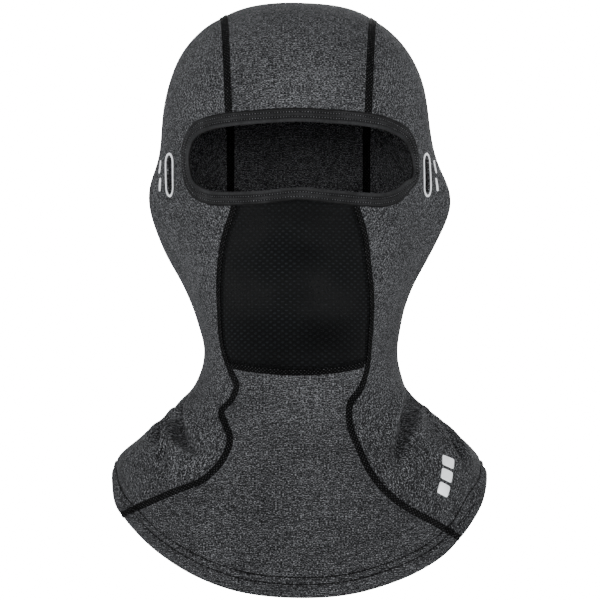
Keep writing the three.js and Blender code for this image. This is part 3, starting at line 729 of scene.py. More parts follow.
def ramp(tree, value, stops, tint=COOL):
    """Colours along a value; a number stands for a tinted grey."""
    node = add(tree, "ShaderNodeValToRGB", {"Fac": value})
    elements = node.color_ramp.elements
    while len(elements) < len(stops):
        elements.new(0.5)
    for element, (place, shade) in zip(elements, stops):
        element.position = place
        element.color = (*(shade if isinstance(shade, tuple) else [shade * c for c in tint]), 1)
    return node.outputs[0]


def bump(tree, height, depth, strength=1.0, under=None):
    """Depth is in millimetres."""
    inputs = {"Height": height, "Distance": depth * MM, "Strength": strength}
    if under:
        inputs["Normal"] = under
    return add(tree, "ShaderNodeBump", inputs).outputs[0]


def new_material(name, **constants):
    """A material, its node tree and the knit's coordinates; constants go on the shader's own sockets."""
    material = bpy.data.materials.new(name)
    material.use_nodes = True
    tree = material.node_tree
    for key, value in constants.items():
        tree.nodes["Principled BSDF"].inputs[key.replace("_", " ")].default_value = value
    return material, tree, add(tree, "ShaderNodeAttribute", attribute_name="weave").outputs["Vector"]


def finished(material, **inputs):
    """The material with its colour, normal and perhaps roughness linked."""
    tree = material.node_tree
    for key, value in inputs.items():
        tree.links.new(value, tree.nodes["Principled BSDF"].inputs[key.replace("_", " ")])
    return material


def place_mm(tree):
    return stretched(tree, add(tree, "ShaderNodeTexCoord").outputs["Object"], (1000, 1000, 1000))


def parts_of(tree, vector):
    return add(tree, "ShaderNodeSeparateXYZ", {0: vector}).outputs


def mapped(tree, value, start, end, first=0.0, last=1.0, **settings):
    """The value moved from one range to another, and kept inside it."""
    inputs = {"Value": value, "From Min": start, "From Max": end, "To Min": first, "To Max": last}
    return add(tree, "ShaderNodeMapRange", inputs, **settings).outputs[0]


def knit_loops(tree, vector, wale, course):
    """Height of a plain knit: rows of small Vs, `wale` wide and `course` tall."""
    parts = parts_of(tree, vector)
    leg = calc(tree, "PINGPONG", parts[0], wale / 2)
    phase = weighted(tree, (parts[1], 2 * math.pi / course), (leg, 4.4 / wale))
    column = calc(tree, "COSINE", calc(tree, "MULTIPLY", leg, 4 * math.pi / wale))
    return weighted(tree, (calc(tree, "SINE", phase), 0.5), (column, -0.5))


def dots(tree, weave, pitch, row_pitch, length, height):
    """1 in oval dots on a lattice whose rows are offset by half a pitch, 0 between them."""
    parts = parts_of(tree, weave)
    row = calc(tree, "DIVIDE", parts[1], row_pitch)
    shift = calc(tree, "MULTIPLY", calc(tree, "FLOORED_MODULO", calc(tree, "FLOOR", row), 2), 0.5)
    cell = calc(tree, "FRACT", calc(tree, "ADD", calc(tree, "DIVIDE", parts[0], pitch), shift))
    dx = calc(tree, "MULTIPLY", calc(tree, "SUBTRACT", cell, 0.5), 2 * pitch / length)
    dy = calc(tree, "SUBTRACT", calc(tree, "FRACT", row), 0.5)
    dy = calc(tree, "MULTIPLY", dy, 2 * row_pitch / height)
    away = weighted(tree, (dx, dx), (dy, dy))
    return mapped(tree, away, 0.3, 1.2, 1.0, 0.0, interpolation_type="SMOOTHSTEP")


HEATHER = [(0.40, 0.0035), (0.49, 0.032), (0.54, 0.085), (0.61, 0.225)]
PAINTED_SHADE = {"from": -245, "to": -330, "darker": 0.022}  # levels between which the cloth is painted darker, painted shade on the shoulders and lower cloth


def heather_material(name, tone, brushed=False):
    """Grey melange jersey, painted darker low down as painted shade; the inside is brushed and takes a
    lighter tone, painted light for the shaded inside.
    """
    material, tree, weave = new_material(
        name, Roughness=0.92, Sheen_Weight=0.02, Sheen_Roughness=0.5, Specular_IOR_Level=0.04)
    place = place_mm(tree)
    specks = noise(tree, weave, (0.85, 2.15), 1, 0.5)
    fibres = noise(tree, weave, (0.2, 1.25), 2, 0.6, 0.4)
    streaks = noise(tree, weave, (0.03, 0.2), 2, 0.5, 0.8)
    broad = noise(tree, place, 0.018, 2, 0.5)
    # Painted shade: the jersey's colour darkens between two levels, over the shoulders and the hanging
    # cloth.
    painted_shade = mapped(tree, parts_of(tree, place)[2], PAINTED_SHADE["from"], PAINTED_SHADE["to"])
    blend = weighted(tree, (specks, 0.62), (fibres, 0.28), (streaks, 0.05), (broad, 0.05),
                     (painted_shade, -PAINTED_SHADE["darker"]))
    colour = ramp(tree, blend, [(at, tone * shade) for at, shade in HEATHER])
    if brushed:
        normal = bump(tree, noise(tree, weave, (0.5, 1.2), 4, 0.7), 0.5, 0.6)
    else:
        loops = knit_loops(tree, weave, 1.0, 0.8)
        normal = bump(tree, specks, 0.35, 0.5, bump(tree, loops, 0.16, 0.45))
    return finished(material, Base_Color=colour, Normal=normal)


def mesh_knit_material():
    """Thin black knit with small raised ovals between its pores, on a half-offset lattice; the ovals are
    painted lighter, a painted highlight.
    """
    material, tree, weave = new_material(
        "mesh_knit", Sheen_Weight=0.02, Sheen_Roughness=0.5, Specular_IOR_Level=0.11)
    ovals = dots(tree, weave, 5.2, 1.9, 2.6, 1.35)
    specks = noise(tree, weave, (0.5, 1.1), 3, 0.6)
    broad = noise(tree, place_mm(tree), 0.03, 2, 0.5)
    # Painted highlight: the ovals' share of the blend lifts them to the ramp's lighter stops.
    blend = weighted(tree, (specks, 0.5), (broad, 0.28), (ovals, 0.22))
    colour = ramp(tree, blend, [(0.25, 0.0006), (0.42, 0.0015), (0.55, 0.004), (0.75, 0.018)], BLUISH)
    rough = weighted(tree, (ovals, -0.18), (specks, 0.3), (broad, 0.9))
    loops = knit_loops(tree, weave, 0.92, 0.83)
    normal = bump(tree, ovals, 0.4, 0.8, bump(tree, loops, 0.12, 0.45))
    return finished(material, Base_Color=colour, Roughness=rough, Normal=normal)


PLAIN_THREAD = (0, 0, 0)  # a weave coordinate between the dots of the seam thread


def seam_material():
    """Black cover thread whose loops are painted as rows of small lighter dots, a painted highlight."""
    material, tree, weave = new_material(
        "seam_thread", Roughness=0.6, Sheen_Weight=0.01, Sheen_Roughness=0.4, Specular_IOR_Level=0.05)
    loops = dots(tree, weave, 2.5, 1.15, 1.15, 0.8)
    fuzz = noise(tree, place_mm(tree), 1.1, 3, 0.65)
    blend = weighted(tree, (fuzz, 0.5), (loops, 0.5))
    # Painted highlight: the ramp's top stops make the thread loops light dots on the black thread.
    colour = ramp(tree, blend, [(0.2, 0.0005), (0.5, 0.001), (0.68, 0.006), (0.82, 0.08)])
    return finished(material, Base_Color=colour, Normal=bump(tree, loops, 0.2, 0.6))


def thread_material(name, tone, scale):
    """Matt polyester thread with a fine twist."""
    material, tree, _ = new_material(
        name, Roughness=0.55, Sheen_Weight=0.02, Sheen_Roughness=0.4, Specular_IOR_Level=0.1)
    place = place_mm(tree)
    fuzz = noise(tree, place, scale, 3, 0.65)
    blend = weighted(tree, (fuzz, 0.7), (noise(tree, place, 0.2, 2, 0.5), 0.3))
    stops = [(0.35, tone * 0.25), (0.5, tone), (0.62, tone * 2), (0.74, tone * 5)]
    return finished(material, Base_Color=ramp(tree, blend, stops), Normal=bump(tree, fuzz, 0.25, 0.6))


# Brightness across the binding, from its inner fold out: a lighter inner fold, a painted highlight; two
# stitch rows; and a dark outer edge, a painted shadow.
TAPE_ROWS = [
    (0.0, 0.62), (0.1, 0.55), (0.18, 0.48), (0.29, 0.2), (0.31, 0.2), (0.4, 0.5), (0.55, 0.47),
    (0.61, 0.2), (0.63, 0.2), (0.7, 0.46), (0.78, 0.42), (0.83, 0.05),
]


def tape_material():
    """Elastic binding: crosswise ribs and a soft surface, with a painted highlight on its inner fold and a
    painted shadow along its outer edge.
    """
    material, tree, weave = new_material(
        "binding_tape", Roughness=0.6, Sheen_Weight=0.03, Sheen_Roughness=0.45, Specular_IOR_Level=0.12)
    parts = parts_of(tree, weave)
    rib = calc(tree, "SINE", calc(tree, "MULTIPLY", parts[0], 2 * math.pi / 0.9))
    specks = noise(tree, weave, (0.9, 0.6), 3, 0.6)
    broad = noise(tree, place_mm(tree), 0.06, 2, 0.5)
    # Painted highlight on the inner fold and painted shadow along the outer edge, across the tape.
    rows = ramp(tree, calc(tree, "DIVIDE", parts[1], 10), TAPE_ROWS)
    blend = weighted(tree, (specks, 0.3), (broad, 0.25), (rib, 0.02), (rows, 0.5))
    colour = ramp(tree, blend, [(0.2, 0.0012), (0.42, 0.006), (0.5, 0.0145), (0.62, 0.036)])
    normal = bump(tree, rib, 0.12, 0.4, bump(tree, specks, 0.25, 0.5))
    return finished(material, Base_Color=colour, Normal=normal)


def film_material():
    """Silver reflective transfer with a fine grain; a faint white emission makes it glow, painted light."""
    # Painted light: the film glows with a faint white emission though it is no lamp.
    material, tree, _ = new_material(
        "reflective_film", Metallic=0.05, Specular_IOR_Level=0.8, Emission_Strength=0.3,
        Emission_Color=(1, 1, 1, 1))
    place = place_mm(tree)
    grain = noise(tree, place, 2.5, 3, 0.6)
    cloudy = noise(tree, place, 0.35, 2, 0.5)
    blend = weighted(tree, (grain, 0.5), (cloudy, 0.5))
    colour = ramp(tree, blend, [(0.35, 0.7), (0.5, 0.9), (0.6, 0.96)])
    rough = weighted(tree, (cloudy, 0.3), (grain, 0.3))
    return finished(material, Base_Color=colour, Roughness=rough, Normal=bump(tree, grain, 0.08, 0.4))


def label_material():
    """Satin care label, blank."""
    material, tree, weave = new_material(
        "label_tape", Roughness=0.45, Sheen_Weight=0.2, Sheen_Roughness=0.4, Specular_IOR_Level=0.4)
    threads = noise(tree, weave, (4, 0.5), 2, 0.5)
    colour = ramp(tree, threads, [(0.3, (0.42, 0.42, 0.40)), (0.7, (0.58, 0.58, 0.55))])
    return finished(material, Base_Color=colour, Normal=bump(tree, threads, 0.05, 0.5))


# ---- panels ----

# The cut of each panel before it is stretched over the head: width and length in metres, flat area in m2.
CUTS = {
    "centre_panel": ((0.105, 0.56), 0.053),
    "side_panel_left": ((0.23, 0.33), 0.06),
    "side_panel_right": ((0.23, 0.33), 0.06),
    "mouth_panel": ((0.12, 0.13), 0.0125),
    "bib_panel": ((0.24, 0.15), 0.021),
}
GRAIN = {"side_panel_left": -56, "side_panel_right": 56}
SIDE_STRETCH = 1.12  # the knit is drawn out more over the sides of the head
CROWN_RADIUS, SIDE_START = 96, 400  # millimetres of knit: per radian over the crown, and above a side


def grid_arcs():
    """Distances round each row from the front, and down each column from the crown."""
    sideways = np.linalg.norm(np.diff(BASE, axis=1, append=BASE[:, :1]), axis=2)
    front = COLUMNS // 2
    row = np.cumsum(sideways, axis=1)
    row = row - row[:, front: front + 1]
    column = np.cumsum(np.linalg.norm(np.diff(BASE, axis=0, prepend=BASE[:1]), axis=2), axis=0)
    return row.ravel(), column.ravel()


def weave_of(name, points, row, column, side_row):
    """Where each point lies in the knit, in millimetres: along the courses and down the wales."""
    if name == "centre_panel":
        turn, low_back = over_crown(points)
        down = np.where(low_back, np.pi * CROWN_RADIUS - points[:, 2] - DOME_DROP, turn * CROWN_RADIUS)
        return np.stack([points[:, 0], down, 0 * down], axis=1)
    if name in GRAIN:
        u, v = (row - side_row) / SIDE_STRETCH, column / SIDE_STRETCH
        turn = math.radians(GRAIN[name])
        u, v = u * math.cos(turn) + v * math.sin(turn), v * math.cos(turn) - u * math.sin(turn)
        return np.stack([u, v + SIDE_START, 0 * u], axis=1)
    return np.stack([row, -points[:, 2], 0 * row], axis=1)


def add_panels(skin, outline, slot_places, looks):
    """The five panels cut out of the skin: for each its object, flat size and flat area."""
    skin = snapped(skin, cut_fields(outline, slot_places))
    names = panel_of(skin[FACES].mean(axis=1), outline, slot_places)
    row, column = grid_arcs()
    quarter = COLUMNS // 4
    pieces = {}
    for name, (flat, area) in CUTS.items():
        faces = FACES[names == name]
        used, faces = np.unique(faces, return_inverse=True)
        faces = faces.reshape(-1, 3)
        at = np.minimum(used, len(row) - 1)
        ring = at // COLUMNS
        side = ring * COLUMNS + (3 * quarter if name == "side_panel_left" else quarter)
        weave = weave_of(name, skin[used], row[at], column[at], row[side])
        materials = looks["mesh"] if name == "mouth_panel" else looks["heather"]
        slot = "mesh_knit" if name == "mouth_panel" else "heather_jersey"
        panel = sewn(name, slot, skin[used], faces.tolist(), materials, weave)
        cloth = panel.modifiers.new("cloth", "SOLIDIFY")
        cloth.thickness, cloth.offset = CLOTH * MM, -1
        cloth.material_offset = 1  # the inside takes the second material
        pieces[name] = (panel, flat, area)
    return pieces


# ---- seams ----

def flatlock(u, s, pitch=1.9):
    """Height of a covered flat seam: a ladder of threads between two rows of needle stitches."""
    body = 0.42 + 0.2 * (1 - u**4)
    ladder = 0.09 * np.sin(2 * np.pi * (s / 1.15 + 0.35 * u)) * (1 - u**2)
    beat = 0.5 + 0.5 * np.cos(2 * np.pi * s / pitch)
    needles = 0.3 * beat**0.6 * bell((np.abs(u) - 0.74) / 0.15)
    edge = np.clip((1 - np.abs(u)) / 0.1, 0, 1) ** 0.5
    return (body + ladder + needles) * (0.25 + 0.75 * edge)


def ribbon(trees, path, width, height, low=0.0, count=13, inside=False):
    """A strip that lies on the cloth; height(u, s) is its top, u across from -1 to 1."""
    u = np.linspace(-1, 1, count)
    ground = path.laid(trees, np.tile(u * width / 2, (len(path.points), 1)))
    lift = height(u[None], path.along[:, None])
    if inside:
        lift, low = -CLOTH - low - lift, -CLOTH - low
    up = path.normals[:, None]
    top = ground + up * lift[..., None]
    bottom = ground[:, [-1, 0]] + up * low
    return loft(np.concatenate([top, bottom], axis=1))


def seam_weave(path, width, count=13):
    """Weave coordinates for a ribbon: along it and across it, with its two lower corners last."""
    across = np.append(np.linspace(0, width, count), [width, 0])
    u = np.tile(across, (len(path.points), 1))
    s = np.tile(path.along[:, None], (1, len(across)))
    return np.stack([s, u, 0 * u], axis=-1).reshape(-1, 3)


def above_hem(points):
    """Height over the hem's edge, straight up."""
    depth = np.where(points[:, 1] < 0, station_value(points[:, 2], FRONT), station_value(points[:, 2], BACK))
    angle = np.arctan2(points[:, 0] / station_value(points[:, 2], HALF), -points[:, 1] / depth)
    return points[:, 2] - hem_level(angle)


def seam_paths(tree):
    paths = {}
    for name, (points, normals) in seam_points(tree, 0.45).items():
        if name.startswith("crown"):
            even = respaced(np.hstack([points, normals]), 0.45)
            points, normals = even[:, :3], unit(even[:, 3:])
        paths[name] = Path(smoothed(points, 3, False), normals, soften=10)
    return paths


def topstitch(tree, path, wide):
    """Two fine rows of stitches on the mouth panel, beside its seams."""
    mouth = np.array([0, path.points[0, 1], CHIN_LINE[:, 1].max() + 40])
    p = path.points
    beside = path.part(p[:, 2] > np.minimum(chin_level(p[:, 0]) - 1, CHIN_LINE[:, 1].max()))
    middle = len(beside.points) // 2
    toward = np.sign(np.dot(beside.sides[middle], mouth - beside.points[middle]))
    return joined([stitch_row([tree], beside, toward * (wide / 2 + out), 1.7, 1.95, 0.55, 0.16)
                   for out in TOPSTITCH_ROWS])


def shown_part(name, path, wide, binding_outline):
    """Where a seam shows: not under the binding, and the chin seam only between the other two."""
    p = path.points
    if name == "chin_seam":
        half = wide / 2 + SEAM_GAP
        return (p[:, 0] > p[0, 0] + half) & (p[:, 0] < p[-1, 0] - half)
    shown = (p[:, 1] >= 0) | (outline_field(p[:, 0], p[:, 2], binding_outline) > -SEAM_TUCK)
    return shown & (p[:, 2] < EYE_CENTRE[2]) if name.startswith("front") else shown


def add_seams(skin_tree, binding_outline, looks):
    """The covers over the five seams, outside and inside; returns a tree of the outside ones."""
    bodies = []
    for name, path in seam_paths(skin_tree).items():
        crown = name.startswith("crown")
        wide = CROWN_SEAM_WIDTH if crown else SEAM_WIDTH
        shown, height = shown_part(name, path, wide, binding_outline), above_hem(path.points)
        outer = path.part(shown & (height > HEM_RADIUS))
        inner = path.part(shown & (height > FOLD + 2))
        body = ribbon([skin_tree], outer, wide, flatlock)
        bodies.append(body)
        weave = seam_weave(outer, wide)
        if not crown:
            rows = topstitch(skin_tree, outer, wide)
            weave = np.vstack([weave, np.full((len(rows[0]), 3), PLAIN_THREAD)])
            body = joined([body, rows])
        sewn(name, "seam_thread", *body, [looks["seam"]], weave)
        wide *= INSIDE_SEAM
        body = ribbon([skin_tree], inner, wide, flatlock, low=0.1, count=9, inside=True)
        sewn(f"{name}_inside", "seam_thread", *body, [looks["seam"]], seam_weave(inner, wide, 9))
    return tree_of(*joined(bodies))


# ---- eye opening ----

def eye_path(tree, step=0.9):
    """The edge of the eye opening on the cloth, its sides pointing away from the opening."""
    edge = respaced(catmull(EYE_EDGE, closed=True), step, closed=True)
    points, _ = from_front(edge, tree)
    points = respaced(points, step, closed=True)
    points, normals = from_front(points[:, [0, 2]], tree)
    path = Path(points, normals, closed=True, soften=8)
    if np.dot(path.sides[0], path.points[0] - np.array(EYE_CENTRE)) < 0:
        path.sides *= -1
    return path


# Section of the folded tape: distance out from the opening's edge, and height over the cloth.
BINDING_SECTION = [
    (8.8, 0.05), (8.85, 0.45), (8.6, 0.75), (8.0, 0.95), (7.2, 0.98), (6.6, 0.85), (6.2, 0.72), (5.8, 0.85),
    (5.2, 1.0), (4.6, 1.08), (4.0, 1.02), (3.4, 0.85), (3.0, 0.72), (2.6, 0.88), (2.0, 1.15), (1.3, 1.32),
    (0.6, 1.22), (0.05, 0.85), (-0.3, 0.25), (-0.4, -0.5), (-0.25, -1.25), (0.25, -1.85), (1.0, -2.2),
    (2.2, -2.25), (3.0, -2.1), (4.5, -2.25), (6.2, -2.1), (7.8, -2.2), (8.7, -2.05), (8.8, -1.35),
    (5.0, -1.3), (1.5, -1.3), (1.2, -0.6), (1.5, 0.03), (5.0, 0.03),
]


# Where the tape's two ends cross: how far each end's inner edge is drawn out to the point of the corner.
LAP = {"level": -112, "under": 13, "over": 13, "lift": 1.2, "tuck": 4.2, "fade": 15, "tip": 8.0, "reach": 17}


def corner_index(path):
    return int(np.argmin(np.abs(path.points[:, 2] - LAP["level"]) + 1000 * (path.points[:, 0] < 0)))


def tucked(from_start):
    """How far out the inner edge of the tape's start lies; it passes under the end."""
    return LAP["tuck"] * np.exp(-np.maximum(from_start, 0) / LAP["fade"])


def pointed(from_end):
    """How far out the inner edge of the tape's end lies; it runs to a point."""
    return LAP["tip"] * np.clip(1 - from_end / LAP["reach"], 0, 1) ** 2


def corner_shift(path):
    """How far the edge of the cloth is cut back round the whole loop, to stay under the tape."""
    total = path.along[-1]
    ahead = (path.along - path.along[corner_index(path)]) % total
    return np.where(ahead < total / 2, tucked(ahead), np.minimum(LAP["tuck"], pointed(total - ahead)))


def across_tape(path, out):
    """For each spot of the loop, the distance across of a line `out` millimetres from the tape's edge."""
    return out + corner_shift(path) * (1 - out / BINDING)


def eye_outline(path, out, tree):
    """The loop `out` millimetres from the opening's edge, as x and level."""
    return path.laid([tree], across_tape(path, out)[:, None])[:, 0][:, [0, 2]]


def lapped(path):
    """The loop opened where its two ends cross, with the start drawn out under the end."""
    first = corner_index(path)
    extra = round(LAP["under"] / path.along[1])
    turn = np.roll(np.arange(len(path.points)), -first)
    order = np.concatenate([turn[-extra:], turn])
    opened = Path(path.points[order], path.normals[order], soften=2)
    opened.sides, opened.normals = path.sides[order], path.normals[order]
    return opened


def drawn_section(path):
    """The tape's section all along the loop: distances out and heights, a row for each spot."""
    out, up = np.array(BINDING_SECTION).T
    s = path.along[:, None]
    from_start, from_end = s - LAP["under"], s[-1] - s
    pucker = 0.12 * np.sin(s / 3.1 + 2 * np.sin(s / 17)) + 0.08 * np.sin(s / 1.3)
    outs = out + pucker * np.where(out > 7, 1.0, 0.35)
    outs = outs + np.maximum(tucked(from_start), pointed(from_end)) * np.clip(1 - out / BINDING, 0, 1)
    near_row = sum(bell((out - row) / 0.7) for row in BINDING_ROWS) * (up > 0.3)
    beat = np.cos(2 * np.pi * s / 2.4)
    ups = up - (0.14 + 0.12 * beat) * near_row + 0.06 * np.sin(s / 2.2 + out)
    over, under = eased(1 - from_end / LAP["over"]), np.clip(1 - from_start / 4, 0, 1)
    return outs, ups + LAP["lift"] * over * (ups > -0.2) - 0.25 * under


def add_binding(skin_tree, seam_tree, path, looks):
    """A tape folded over the edge, its end lapped over its start at the wearer's left corner."""
    path = lapped(path)
    outs, ups = drawn_section(path)
    on_cloth = np.maximum(outs, 0.3)
    rings = path.laid([skin_tree, seam_tree], on_cloth)
    rings = rings + path.sides[:, None] * (outs - on_cloth)[..., None]
    rings = rings + path.normals[:, None] * ups[..., None]
    v = np.array(BINDING_SECTION)[:, 0] + 3 * (ups < 0)
    weave = np.stack(np.broadcast_arrays(path.along[:, None], v, 0 * v), axis=-1)
    sewn("eye_binding", "binding_tape", *loft(rings), [looks["tape"]], weave.reshape(-1, 3))
    top = 18  # points of the section that face outward
    faces = quads(len(rings), top)
    return tree_of(rings[:, :top].reshape(-1, 3), faces[faces[:, 0] % top < top - 1].tolist())


# ---- stitches ----

def circles(centres, sides, ups, radius, count=6):
    """A ring of points round each centre."""
    ring = np.radians(np.arange(count) * 360 / count)[None, :, None]
    around = sides[:, None] * np.cos(ring) + ups[:, None] * np.sin(ring)
    return centres[:, None] + around * np.reshape(radius, (-1, 1, 1))


def stitch_row(trees, path, across, length, pitch, width, high):
    """A row of thread stitches, each an arched capsule that dips into the cloth at its ends."""
    across = np.broadcast_to(np.asarray(across, float), len(path.points))
    line = Path(path.laid(trees, across[:, None])[:, 0], path.normals, closed=path.closed)
    total = line.along[-1]
    part = np.linspace(0, 1, 6)
    arch = np.sin(np.pi * part)
    thick = (0.35 + 0.65 * arch**0.5) * width / 2
    bodies = []
    for start in np.arange(0, total - length, total / round(total / pitch)):
        at = start + part * length
        centre, up = between(at, line.along, line.points), unit(between(at, line.along, line.normals))
        side = unit(np.cross(unit(np.gradient(centre, axis=0)), up))
        centre = centre + up * (high * arch**0.6 - 0.1)[:, None]
        bodies.append(loft(circles(centre, side, up * 0.75, thick)))
    return joined(bodies)


def hem_line(inset, tree, step=0.006):
    """A closed path round the hem, `inset` millimetres in from its edge."""
    angle = np.arange(-np.pi, np.pi, step)
    t = 3 - inset * np.hypot(1, rim_slope(angle, 3.0)) / FOLD
    normals, _ = surface_frame(angle, t)
    points, _ = drop([tree], surface(angle, t) + normals * ABOVE, -normals)
    return Path(points, normals, closed=True)


def add_hem_stitches(skin_tree, seam_tree, looks):
    trees = [skin_tree, seam_tree]
    for name, inset in zip(("hem_stitch_lower", "hem_stitch_upper"), HEM_ROWS):
        body = stitch_row(trees, hem_line(inset, skin_tree), 0, 2.95, 3.0, 1.15, 0.1)
        sewn(name, "seam_thread", *body, [looks["thread"]])
    line = hem_line(sum(HEM_ROWS) / 2, skin_tree, 0.0035)
    swing = (HEM_ROWS[1] - HEM_ROWS[0]) / 2
    wave = swing * 2 / np.pi * np.arcsin(np.sin(2 * np.pi * line.along / 3.0)) * 1.1
    depth = 2 * HEM_RADIUS + 0.35
    looper = Path(line.points + line.sides * wave[:, None] - line.normals * depth, line.normals, closed=True)
    body = loft(circles(looper.points, looper.sides, looper.normals, 0.3), wrap=True)
    sewn("hem_stitch_inside", "seam_thread", *body, [looks["thread"]])


def add_binding_stitches(binding_tree, path, looks):
    for name, out in zip(("eye_binding_stitch_inner", "eye_binding_stitch_outer"), BINDING_ROWS):
        body = stitch_row([binding_tree], path, across_tape(path, out), 0.7, 1.9, 0.62, 0.26)
        sewn(name, "seam_thread", *body, [looks["binding_thread"]])


# ---- slots, marks and label ----

def patch_place(tree, start, direction, lean):
    """A flat frame on the cloth: its centre, level direction and upward direction."""
    points, normals = drop([tree], [start], direction)
    spot, normal = points[0], normals[0]
    level = unit(np.cross([0, 0, 1], normal))
    up = unit(np.cross(normal, level))
    turn = math.radians(lean)
    v = up * math.cos(turn) + level * math.sin(turn)
    return spot, unit(np.cross(v, normal)), v


def at_side(tree, sign, side, level, lean):
    angle = math.radians(side) * sign
    direction = np.array([-math.sin(angle), math.cos(angle), 0])
    return patch_place(tree, -direction * FAR + [0, 0, level], direction, lean)


def on_patch(tree, place, across, up):
    """Points on the cloth at offsets from a patch's centre, and the patch's normal."""
    centre, u, v = place
    normal = np.cross(u, v)
    starts = centre + np.outer(across, u) + np.outer(up, v) + normal * ABOVE
    return drop([tree], starts, -normal)[0], normal


def stadium_offsets(width, height, per_end=20, per_side=14):
    """Points round a slot's outline, across and up from its middle."""
    radius, reach = width / 2, (height - width) / 2
    arc = np.linspace(0, np.pi, per_end)
    side = np.linspace(1, -1, per_side + 2)[1:-1] * reach
    x = np.concatenate([radius * np.cos(arc), np.full(per_side, -radius),
                        -radius * np.cos(arc), np.full(per_side, radius)])
    y = np.concatenate([reach + radius * np.sin(arc), side, -reach - radius * np.sin(arc), -side])
    return x * widened(y), y


def raised(tree, place, loops):
    """Rings over the cloth from loops of (across, up the patch, height)."""
    rings = []
    for x, y, high in loops:
        points, normal = on_patch(tree, place, x, y)
        rings.append(points + normal * high)
    return rings


# Sections of the film, which is a little domed: part of the width, or size, and height.
TRIM_SECTION = [
    (0, 0.02), (0, 0.34), (0.08, 0.48), (0.3, 0.55), (0.7, 0.55), (0.92, 0.48), (1, 0.34), (1, 0.02),
]
MARK_SECTION = [(0.02, 0.02), (1, 0.02), (1, 0.26), (0.96, 0.36), (0.85, 0.4), (0.4, 0.4), (0.02, 0.4)]


def add_slot_trim(tree, name, place, looks):
    """A rounded ring of film around a slot."""
    loops = []
    for part, high in TRIM_SECTION:
        size = TRIM["margin"] + part * TRIM["line"]
        loops.append((*stadium_offsets(SLOT["width"] + 2 * size, SLOT["height"] + 2 * size), high))
    rings = np.array(raised(tree, place, loops)).transpose(1, 0, 2)
    sewn(name, "reflective_film", *loft(rings, wrap=True), [looks["film"]])


def add_film_patch(tree, name, place, width, height, corner, looks):
    """A small flat transfer with rounded corners."""
    turn = np.radians(np.arange(0, 360, 7.5))
    power = 2 / corner
    x = np.sign(np.cos(turn)) * np.abs(np.cos(turn)) ** power * width / 2
    y = np.sign(np.sin(turn)) * np.abs(np.sin(turn)) ** power * height / 2
    rings = raised(tree, place, [(x * scale, y * scale, high) for scale, high in MARK_SECTION])
    sewn(name, "reflective_film", *loft(rings), [looks["film"]])


def add_marks(tree, looks):
    for side, sign in (("left", 1), ("right", -1)):
        for where, step in (("upper", 0.5), ("lower", -0.5)):
            level = EAR_MARK["level"] + step * EAR_MARK["apart"]
            side_angle = EAR_MARK["side"] + step * EAR_MARK["lean"]
            place = at_side(tree, sign, side_angle, level, sign * SLOT["lean"])
            add_film_patch(tree, f"ear_reflector_{side}_{where}", place, EAR_MARK["width"],
                           EAR_MARK["height"], 4, looks)
    mark = SHOULDER_MARK
    centre, u, v = patch_place(tree, [mark["x"], -FAR, mark["level"]], (0, 1, 0), 90 - mark["lean"])
    for where, step in (("upper", 1), ("middle", 0), ("lower", -1)):
        points, _ = on_patch(tree, (centre, u, v), [0], [step * mark["pitch"]])
        place = (points[0], u, v)
        add_film_patch(tree, f"shoulder_reflector_{where}", place, mark["width"], mark["length"], 7, looks)


def add_label(tree, looks):
    """Sewn inside the back along its top edge, hanging a little free below."""
    rows, columns = 16, 8
    rings = []
    for i in range(rows + 1):
        down = i / rows
        level = LABEL["level"] + LABEL["height"] * (0.5 - down)
        x = np.linspace(-0.5, 0.5, columns + 1) * LABEL["width"]
        points, _ = from_front(np.stack([x, np.full(len(x), level)], axis=1), tree, y=FAR)
        free = FABRIC + 0.5 + 2.2 * down**2 + 0.25 * math.sin(5 * down)
        face = points - [0, free + LABEL["thick"], 0]
        rings.append(np.vstack([points - [0, free, 0], face[::-1]]))
    rings = np.array(rings)
    weave = np.stack([rings[..., 0], rings[..., 2], 0 * rings[..., 0]], axis=-1).reshape(-1, 3)
    sewn("care_label", "label_tape", *loft(rings), [looks["label"]], weave)


# ---- stage, lights and camera ----

VIEW = {"place": (0.001, -2.6, -0.198), "lens": 230.8}
TARGET = (0, 0, -0.2)
LIGHTS = {  # place in metres, diameter and watts
    "key": ((-1.8, -1.3, -0.1), 1.0, 25),
    "fill": ((1.9, -1.2, -0.2), 1.0, 23),
    "front": ((0, -2.7, 0), 0.7, 17),
    "low_right": ((-1.4, -1.5, -1.1), 0.8, 8),
    "low_left": ((1.4, -1.5, -1.1), 0.8, 8),
    "top": ((0, -0.1, 1.7), 1.0, 9),
    "back": ((0.2, 2.4, 0.3), 1.8, 66),
}
WORLD = {"colour": (0.97, 0.985, 1, 1), "strength": 0.45}
STAGE = {"floor": -0.60, "radius": 4, "height": 4.6, "glow": 18, "sides": 48}


def area_light(name, place, size, power):
    light = bpy.data.lights.new(name, "AREA")
    light.shape, light.size, light.energy = "DISK", size, power
    item = placed(name, light)
    item.location = place
    item.rotation_euler = (Vector(TARGET) - Vector(place)).to_track_quat("-Z", "Y").to_euler()


def white_material(strength):
    material = bpy.data.materials.new("stage_white")
    material.use_nodes = True
    tree = material.node_tree
    tree.nodes.remove(tree.nodes["Principled BSDF"])
    glow = add(tree, "ShaderNodeEmission", {"Color": (1, 1, 1, 1), "Strength": strength})
    tree.links.new(glow.outputs[0], tree.nodes["Material Output"].inputs["Surface"])
    material.cycles.emission_sampling = "NONE"
    return material


def stage_ring(name, rings, material):
    """A round surface of the stage; it lights nothing and only the camera sees it."""
    sides = STAGE["sides"]
    turn = np.linspace(0, 2 * np.pi, sides, endpoint=False)
    points = [np.stack([r * np.cos(turn), r * np.sin(turn), 0 * turn + z], axis=1) for r, z in rings]
    faces = quads(len(rings), sides)[:, ::-1].tolist()
    mesh = bpy.data.meshes.new(name)
    mesh.from_pydata(np.vstack(points), [], faces)
    mesh.materials.append(material)
    item = placed(name, mesh)
    for ray in ("diffuse", "glossy", "transmission", "volume_scatter", "shadow"):
        setattr(item, f"visible_{ray}", False)


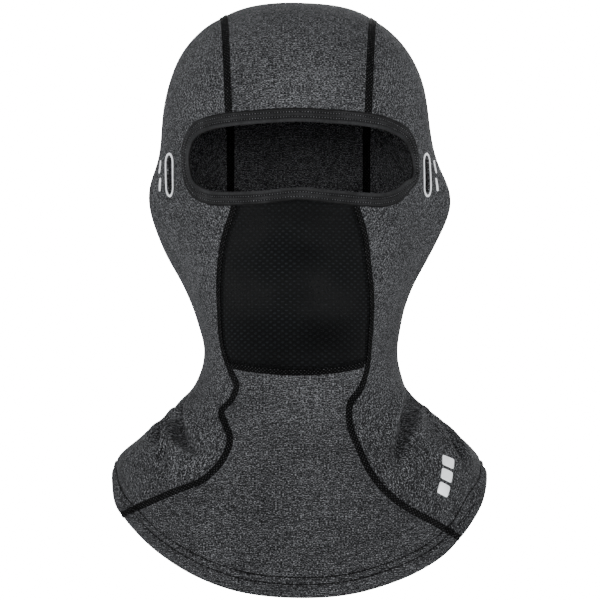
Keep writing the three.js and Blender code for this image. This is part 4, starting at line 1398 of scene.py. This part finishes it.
def add_stage():
    white = white_material(STAGE["glow"])
    floor, radius = STAGE["floor"], STAGE["radius"]
    stage_ring("floor", [(0.01, floor), (radius, floor)], white)
    rise = np.radians(np.arange(0, 91, 6))
    dome = [(radius * math.cos(a) + 0.001, floor + STAGE["height"] * math.sin(a)) for a in rise]
    stage_ring("backdrop", dome, white)


def add_lights():
    for name, light in LIGHTS.items():
        area_light(name, *light)
    world = bpy.data.worlds.new("studio")
    world.use_nodes = True
    shade = world.node_tree.nodes["Background"]
    shade.inputs["Color"].default_value = WORLD["colour"]
    shade.inputs["Strength"].default_value = WORLD["strength"]
    bpy.context.scene.world = world


def add_camera():
    camera = bpy.data.cameras.new("camera")
    camera.sensor_width, camera.lens = 36, VIEW["lens"]
    camera.clip_start, camera.clip_end = 0.05, 50
    item = placed("camera", camera)
    item.location = VIEW["place"]
    item.rotation_euler = (math.pi / 2, 0, 0)
    bpy.context.scene.camera = item


# ---- assembly ----

looks = {
    # The inside's lighter tone, 1.25 against 1.0, is painted light: it brightens the shaded inside of the
    # hood.
    "heather": [heather_material("heather_jersey", 1.0), heather_material("heather_inside", 1.25, True)],
    "mesh": [mesh_knit_material()] * 2,
    "seam": seam_material(),
    "thread": thread_material("hem_thread", 0.0012, 1.3),
    "binding_thread": thread_material("binding_thread", 0.11, 1.3),
    "tape": tape_material(),
    "film": film_material(),
    "label": label_material(),
}

skin = make_skin()
skin_tree = tree_of(skin, FACES.tolist())
eye = eye_path(skin_tree)
slots = {side: at_side(skin_tree, sign, SLOT["side"], SLOT["level"], sign * SLOT["lean"])
         for side, sign in (("left", 1), ("right", -1))}
panels = add_panels(skin, eye_outline(eye, BINDING_LAP, skin_tree), list(slots.values()), looks)
seam_tree = add_seams(skin_tree, eye_outline(eye, BINDING, skin_tree), looks)
binding_tree = add_binding(skin_tree, seam_tree, eye, looks)
add_binding_stitches(binding_tree, eye, looks)
add_hem_stitches(skin_tree, seam_tree, looks)
for side, place in slots.items():
    add_slot_trim(skin_tree, f"slot_trim_{side}", place, looks)
add_marks(skin_tree, looks)
add_label(skin_tree, looks)

add_stage()
add_lights()
add_camera()
